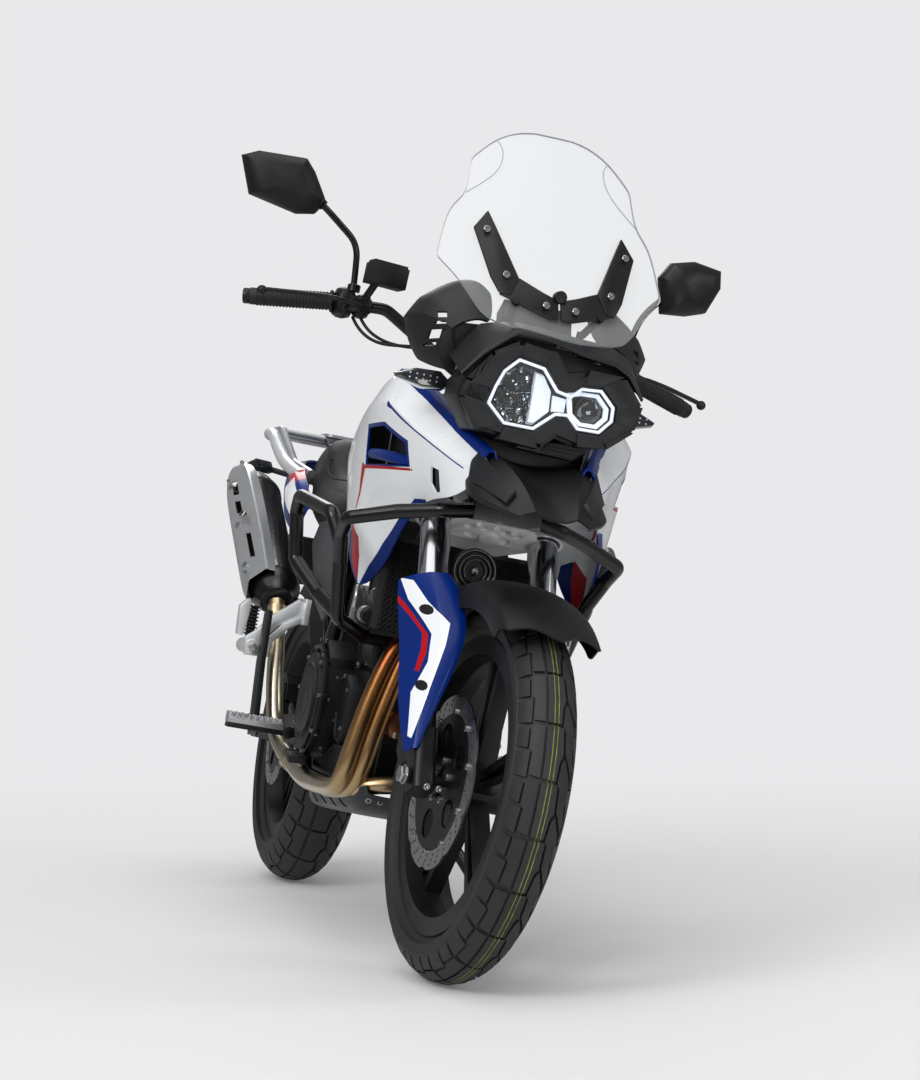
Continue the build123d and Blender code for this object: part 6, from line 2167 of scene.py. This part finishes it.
webs = []
for height, half, reach in ((484, 82, 42), (676, 76, 36)):  # ribbed undersides of both yokes, with round pockets
    under = prism(
        [
            (-half, -reach * 0.5), (-half + 14, -reach), (half - 14, -reach), (half, -reach * 0.5),
            (half, reach * 0.7), (-half, reach * 0.7)
        ],
        lambda x, y, height=height: on_fork(x, y, height), (0, 6 * sin(RAKE), 6 * cos(RAKE))
    )
    for x, y in ((-46, -16), (-20, -20), (20, -20), (46, -16), (-34, 12), (34, 12)):
        pocket = rod(9.5, 30, on_fork(x, y, height), (-RAKE, 0, 0), sides=20)
        modify(under, "BOOLEAN", operation="DIFFERENCE", object=pocket, solver="EXACT")
        bpy.data.objects.remove(pocket)
    webs.append(under)
    webs.append(rod(17, 12, on_fork(0, 4, height - 2), (-RAKE, 0, 0)))
    for x in (-33, 0, 33):
        webs.append(rod(5, 10, on_fork(x, -30, height - 2), (-RAKE, 0, 0), sides=16))
# the yoke faces carry a painted sheen: an almost white casting finish that reads bright in the shade
settle(joined(webs), "yoke_undersides", "steering", casting_with_painted_sheen, angle=30, bevel=1.2)

pistons = []
for depth, height in ((104, 112), (138, 118)):
    place = on_fork(-88, depth, height)
    pistons.append(rod(17, 7, place, SIDEWAYS))
    pistons.append(hoop(12, 2, (place[0] - 3, place[1], place[2]), SIDEWAYS, 32, 8))
line = [
    on_fork(-82, 148, 140), on_fork(-92, 150, 190), on_fork(-112, 96, 250), on_fork(-112, 56, 320),
    on_fork(-100, 44, 420), on_fork(-70, 40, 470)
]
pistons.append(round_tube(line, 7, 12))
settle(joined(pistons), "caliper_covers_and_hose", "steering", cast_black, angle=35, bevel=0.8)
print("fork details:", PIECES[-4:])

# %% [markdown]
# ## Muffler and its shield
#
# The can is rolled steel under satin black, with a formed cap at each end. The heat shield is a
# folded aluminium sheet that stands off on spacers; its slots let the air through.

# %% Muffler
CAN_FRONT, CAN_REAR = Vector((-206, 292, 584)), Vector((-222, 724, 826))
CAN_WAY = (CAN_REAR - CAN_FRONT).normalized()
CAN_SIDE = Vector((1, 0, 0))
CAN_UP = CAN_SIDE.cross(CAN_WAY).normalized()


def on_can(along, angle, radius):
    """A point round the muffler: angle 0 is to the machine's left, 90 degrees is the top."""
    out = CAN_SIDE * (radius * cos(radians(angle)))
    up = CAN_UP * (radius * sin(radians(angle)))
    return tuple(CAN_FRONT + CAN_WAY * along + out + up)


CAN_SECTIONS = (
    (0, 24), (2, 33), (14, 35), (40, 50), (50, 53), (60, 53), (64, 51), (424, 51), (428, 53), (440, 53), (446, 51),
    (484, 40), (494, 36), (494, 24), (470, 22)
)
muffler = drawn([[on_can(along, k * 15, radius) for k in range(24)] for along, radius in CAN_SECTIONS], levels=0)
modify(muffler, "SUBSURF", subdivision_type="SIMPLE", levels=1)
settle(muffler, "muffler_can", "chassis", powder_black, ("muffler",), angle=28)

# %% Shield
SHIELD_ROWS = (  # distance along the can, then (angle, radius) of each fold
    (30, (104, 57), (120, 66), (160, 66), (196, 60), (206, 58)),
    (70, (100, 57), (118, 68), (168, 70), (214, 66), (232, 60)),
    (250, (98, 57), (117, 70), (172, 72), (218, 67), (238, 60)),
    (430, (100, 57), (119, 70), (172, 72), (214, 66), (232, 60)),
    (486, (106, 54), (124, 62), (164, 66), (196, 62), (206, 58)),
    (520, (120, 42), (132, 48), (158, 54), (178, 52), (186, 50)),
)
shield = skin(
    [[on_can(along, angle, radius) for angle, radius in folds] for along, *folds in SHIELD_ROWS], sharp=(1, 2, 3),
    levels=3, mirrored=False, facing=(-1, 0, 0), taut=True
)
for start_at, end_at, low, high in (
    (372, 432, 150, 160), (292, 346, 150, 160), (96, 196, 142, 151), (150, 230, 186, 196), (300, 400, 186, 196)
):
    corners = [
        on_can(along, angle, 70)
        for along, angle in ((start_at, low), (end_at, low), (end_at + 10, high), (start_at + 10, high))
    ]
    mask_off(shield, [(y, z) for x, y, z in corners], "side", only=lambda c: c.x < CAN_FRONT.x - 30)
modify(shield, "SOLIDIFY", thickness=2.2, offset=-1)
sheet_silver = finish("anodised_aluminium_sheet", "#d6d8da", "#c9cbcd", 0.33, 0.5, 0.02, metallic=0.85)
settle(shield, "muffler_shield_sheet", "chassis", sheet_silver, ("muffler_shield",), angle=22)
spacers = [
    (on_can(along, angle, 71), Vector(on_can(along, angle, 80)) - Vector(on_can(along, angle, 60)), size)
    for along, angle, size in ((256, 140, 1.7), (440, 158, 0.9), (474, 126, 0.9), (50, 158, 0.9))
]
bolts = stamped(SCREW, spacers)
posts = []
for along in (90, 256, 420):
    posts.append(round_tube([on_can(along, 160, 50), on_can(along, 160, 70)], 12, 12))
settle(joined([bolts] + posts), "shield_bolts_and_posts", "chassis", zinc_bolt, angle=40)
print("exhaust:", PIECES[-3:])

# %% [markdown]
# ## Pegs
#
# The passenger pegs fold up against forged brackets of two curved arms. The rider's pegs are toothed
# so that a muddy boot holds.

# %% Passenger peg brackets
brackets, rubbers = [], []
for side in (-1, 1):
    for outline, y in (
        (
            (
                (262, 470), (268, 504), (246, 522), (222, 554), (170, 598), (150, 590), (152, 572), (208, 536),
                (226, 508), (236, 470)
            ),
            250
        ),
        (((226, 470), (222, 512), (196, 545), (150, 573), (146, 560), (184, 536), (206, 506), (208, 474)), 242),
    ):
        brackets.append(plate_across([(side * x, z) for x, z in outline], y, -16, 0.97))
    brackets.append(
        plate_across(
            [(side * 260, 506), (side * 273, 508), (side * 276, 566), (side * 262, 582), (side * 252, 574)], 322,
            -26
        )
    )
    brackets.append(rod(15, 110, (side * 250, 282, 488), FORWARDS, sides=24))
    brackets.append(
        plate_level([(side * 148, 222), (side * 148, 356), (side * 160, 356), (side * 160, 222)], 548, 52)
    )
    core = rod(9, 64, (side * 246, 308, 538), sides=20)
    rubbers.append(core)
    for step in range(9):
        rib = start("cube", size=1, location=(side * 246, 308, 512 + step * 7))
        rib.scale = (20, 32, 3.6)
        bpy.ops.object.transform_apply(location=True, scale=True)
        rubbers.append(rib)
settle(
    joined(brackets), "passenger_peg_brackets", "chassis", forged, ("passenger_pegs",), angle=30,
    bevel=2.0
)
settle(joined(rubbers), "passenger_peg_rubbers", "chassis", grip_rubber, angle=35, bevel=0.8)
settle(
    stamped(
        SCREW,
        [((side * 250, 226, 488), (0, -1, 0), 1.6) for side in (-1, 1)] + [
            ((side * 164, 314 + k * 24, 572), (side, 0, 0), 1.2) for side in (-1, 1) for k in (0, 1)
        ]
    ),
    "passenger_peg_bolts", "chassis", zinc_bolt
)

# %% Rider's pegs, brake and gear levers
teeth = []
for side in (-1, 1):
    for y in (84, 114):
        saw = [(side * 184, 340)]
        for step in range(9):
            saw += [
                (side * (188 + step * 12), 352), (side * (191 + step * 12), 361), (side * (196 + step * 12), 361),
                (side * (199 + step * 12), 352)
            ]
        saw += [(side * 296, 350), (side * 296, 340)]
        teeth.append(plate_across(saw, y, 4))
    teeth.append(plate_level([(side * 290, 86), (side * 296, 86), (side * 296, 118), (side * 290, 118)], 340, 20))
settle(joined(teeth), "rider_peg_teeth", "chassis", blasted, angle=25, bevel=0.5)

frames = []
for side in (-1, 1):
    frames.append(
        plate_level([(side * 182, 82), (side * 296, 84), (side * 296, 118), (side * 182, 120)], 330, 10, 0.98)
    )
    frames.append(rod(12, 44, (side * 176, 100, 338), FORWARDS, sides=24))
    frames.append(
        plate_beside([(60, 372), (110, 330), (128, 290), (104, 286), (82, 314), (50, 352)], side * 128, side * 12)
    )
    guard = plate_beside(
        [(120, 330), (160, 318), (206, 460), (214, 560), (188, 566), (172, 470)], side * (150 if side > 0 else 228),
        side * 13
    )
    frames.append(guard)
frames.append(plate_beside([(-126, 292), (-84, 300), (-84, 312), (-128, 306)], -172, -34))
frames.append(round_tube([(168, -84, 336), (206, -84, 338)], 16, 16))
settle(joined(frames), "rider_pegs_and_heel_guards", "chassis", cast_black, angle=30, bevel=1.5)

# %% [markdown]
# ## Chain, swingarm ends and rear brake
#
# Every chain link is two plates and a roller. One link is made and stamped at each pitch round the
# path that the two sprockets give.

# %% Chain
def chain_path(count):
    """Evenly spaced places and directions round the two sprockets, as y and z."""
    front, rear, small, large = Vector((100, 352)), Vector((HALF_WHEELBASE, REAR_RADIUS)), 43.0, 105.0
    between = rear - front
    lean = atan2(between.y, between.x)
    spread = asin((large - small) / between.length)
    top, bottom = lean + pi / 2 + spread, lean - pi / 2 - spread
    corners = []
    for k in range(40):
        angle = bottom + (top - bottom) * k / 39
        corners.append(rear + Vector((cos(angle), sin(angle))) * large)
    for k in range(24):
        angle = top + (2 * pi + bottom - top) * k / 23
        corners.append(front + Vector((cos(angle), sin(angle))) * small)
    corners.append(corners[0])
    lengths = [(b - a).length for a, b in zip(corners, corners[1:])]
    pitch, places, walked, index = sum(lengths) / count, [], 0.0, 0
    for k in range(count):
        while walked + lengths[index] < k * pitch:
            walked += lengths[index]
            index += 1
        share = (k * pitch - walked) / lengths[index]
        places.append(
            (corners[index].lerp(corners[index + 1], share), (corners[index + 1] - corners[index]).normalized())
        )
    return places


OVAL = [
    (-11, 0), (-9, 4.6), (-4, 3.6), (0, 3.2), (4, 3.6), (9, 4.6), (11, 0), (9, -4.6), (4, -3.6), (0, -3.2),
    (-4, -3.6), (-9, -4.6)
]


def chain_link(half):
    """Two side plates and a roller, modelled once at the origin with the chain running along Z."""
    parts = [prism(OVAL, lambda a, b, face=face: (face * half, b, a), (-face * 1.7, 0, 0)) for face in (-1, 1)]
    parts.append(rod(4.2, 12, (0, 0, 8), SIDEWAYS, sides=12))
    return joined(parts)


rows = []
for parity, half in enumerate((8.2, 6.4)):
    link = chain_link(half)
    places = [((77, place.x, place.y), (0, way.x, way.y), 1) for place, way in chain_path(106)[parity::2]]
    rows.append(stamped(link, places))
    bpy.data.objects.remove(link)
settle(joined(rows), "chain_links", "chassis", chain_steel, ("drive_chain",), angle=30)

# %% Swingarm ends, rear brake and shock spring
rear_bits = []
for side in (-1, 1):
    rear_bits.append(rod(17, 12, (side * 134, HALF_WHEELBASE, REAR_RADIUS), SIDEWAYS, sides=6))
    rear_bits.append(rod(20, 3, (side * 127, HALF_WHEELBASE, REAR_RADIUS), SIDEWAYS))
    rear_bits.append(
        plate_across([(side * 94, 292), (side * 130, 292), (side * 130, 338), (side * 94, 338)], 765, 7)
    )
    rear_bits.append(rod(8, 12, (side * 111, 776, 315), FORWARDS, sides=6))
    rear_bits.append(rod(15, 6, (side * 139, 190, 338), SIDEWAYS, sides=24))
rear_bits.append(
    stamped(
        SCREW, [((-98, 640, 372 + k * 50), (-1, 0, 0), 1.4) for k in (0, 1)] + [((-112, 612, 420), (-1, 0, 0), 1.2)]
    )
)
settle(joined(rear_bits), "rear_axle_ends_and_bolts", "chassis", zinc_bolt, angle=32, bevel=0.8)

spring = start("circle", vertices=12, radius=4.6, location=(29, 0, 0), rotation=(pi / 2, 0, 0))
bpy.ops.object.transform_apply(location=True, rotation=True)
modify(
    spring, "SCREW", angle=radians(360 * 7), screw_offset=190, steps=40, render_steps=40, use_merge_vertices=False
)
spring.matrix_world = Matrix.Translation((0, 252, 398)) @ (
    Vector((0, -34, 208)).to_track_quat("Z", "Y").to_matrix().to_4x4()
)
bpy.ops.object.mode_set(mode="EDIT")
bpy.ops.mesh.select_all(action="SELECT")
bpy.ops.mesh.normals_make_consistent(inside=False)
bpy.ops.object.mode_set(mode="OBJECT")
settle(spring, "shock_spring", "chassis", zinc_bolt, angle=60)
print("rear drive:", PIECES[-3:])

# %% [markdown]
# ## Tail
#
# The tail lamp is a red lens in a black bowl, the rear indicators match the front ones, and the
# number plate holder carries a bare plate.

# %% Tail lamp, indicators and plate
lens = plate_across([(-54, 852), (54, 852), (58, 872), (44, 888), (-44, 888), (-58, 872)], 822, 12, 0.9)
settle(lens, "tail_lens", "chassis", red_lens, angle=25, bevel=2.5)

holder = [
    plate_beside(
        [
            (792, 896), (836, 878), (832, 858), (880, 770), (952, 700), (944, 684), (870, 752), (812, 816),
            (792, 846)
        ],
        -34, 68
    ),
    plate_across([(-62, 846), (62, 846), (66, 876), (48, 896), (-48, 896), (-66, 876)], 796, 22, 0.96),
]
for side in (-1, 1):
    holder.append(round_tube([(side * 40, 822, 856), (side * 110, 846, 866), (side * 168, 876, 874)], 13, 16))
holder.append(
    prism(
        [(-100, -68), (100, -68), (100, 68), (-100, 68)], lambda a, b: (a, 928 + b * 0.65, 690 - b * 0.76),
        (0, -3, -3)
    )
)
settle(joined(holder), "tail_holder", "chassis", black_trim, ("tail_light",), angle=30, bevel=1.8)

plate_paint = finish("blank_plate_enamel", "#dcdcd8", "#d2d2ce", 0.35, 2.0, 0.02)
plate = prism(
    [(-95, -64), (95, -64), (95, 64), (-95, 64)], lambda a, b: (a, 934 + b * 0.65, 692 - b * 0.76), (0, 2, 2)
)
settle(plate, "blank_number_plate", "chassis", plate_paint, angle=30, bevel=0.8)

rear_lamps = []
for side in (-1, 1):
    body = prism(
        [(160, 868), (172, 862), (206, 862), (224, 878), (206, 892), (170, 890)],
        lambda x, z, side=side: (side * x, 862, z), (0, 26, 0), 0.84
    )
    rear_lamps.append(body)
settle(joined(rear_lamps), "rear_indicator_bodies", "chassis", smoked_lens, angle=30, bevel=2.0)

# the grab handles are thick castings over the rack's side rails
handles = []
for side in (-1, 1):
    handles.append(
        round_tube(
            [
                (side * 172, 462, 852), (side * 190, 545, 870), (side * 200, 620, 904), (side * 204, 690, 940),
                (side * 200, 790, 946), (side * 184, 838, 947)
            ],
            27, 20
        )
    )
settle(joined(handles), "grab_handles", "chassis", forged, angle=60)

# %% [markdown]
# ## Tank cap and last screws
#
# The cap's ring is screwed to the tank; the lid carries a small flap over its keyhole and opens
# with it.

# %% Tank cap
deselect_all()
ring = hoop(58, 4.0, (0, -84, 1003), (0, 0, 0), 64, 8)
ring.scale = (1, 1, 0.8)
settle(ring, "cap_ring", "chassis", blasted, angle=60)
lid = rod(49, 4, (0, -84, 1012), sides=64)
bpy.ops.object.transform_apply(location=True)
choose("faces", lambda face: face.normal.z > 0.9)
bpy.ops.mesh.inset(thickness=7)
bpy.ops.mesh.extrude_region_move(TRANSFORM_OT_translate={"value": (0, 0, -1.5)})
bpy.ops.mesh.inset(thickness=18)
bpy.ops.mesh.extrude_region_move(TRANSFORM_OT_translate={"value": (0, 0, 2.0)})
bpy.ops.object.mode_set(mode="OBJECT")
flap = plate_level([(-9, -112), (9, -112), (11, -92), (7, -80), (-7, -80), (-11, -92)], 1014, 4, 0.9)
lid = joined([lid, flap])
settle(lid, "cap_lid_relief", "fuel_cap", blasted, angle=30, bevel=0.8)
screws = [((58 * cos(pi * k / 3 + 0.3), -84 + 58 * sin(pi * k / 3 + 0.3), 1006), (0, 0, 1), 0.9) for k in range(6)]
settle(stamped(SCREW, screws), "cap_screws", "chassis", zinc_bolt)
print("tail:", PIECES[-7:])

# %% Remove the screw pattern
bpy.data.objects.remove(SCREW)
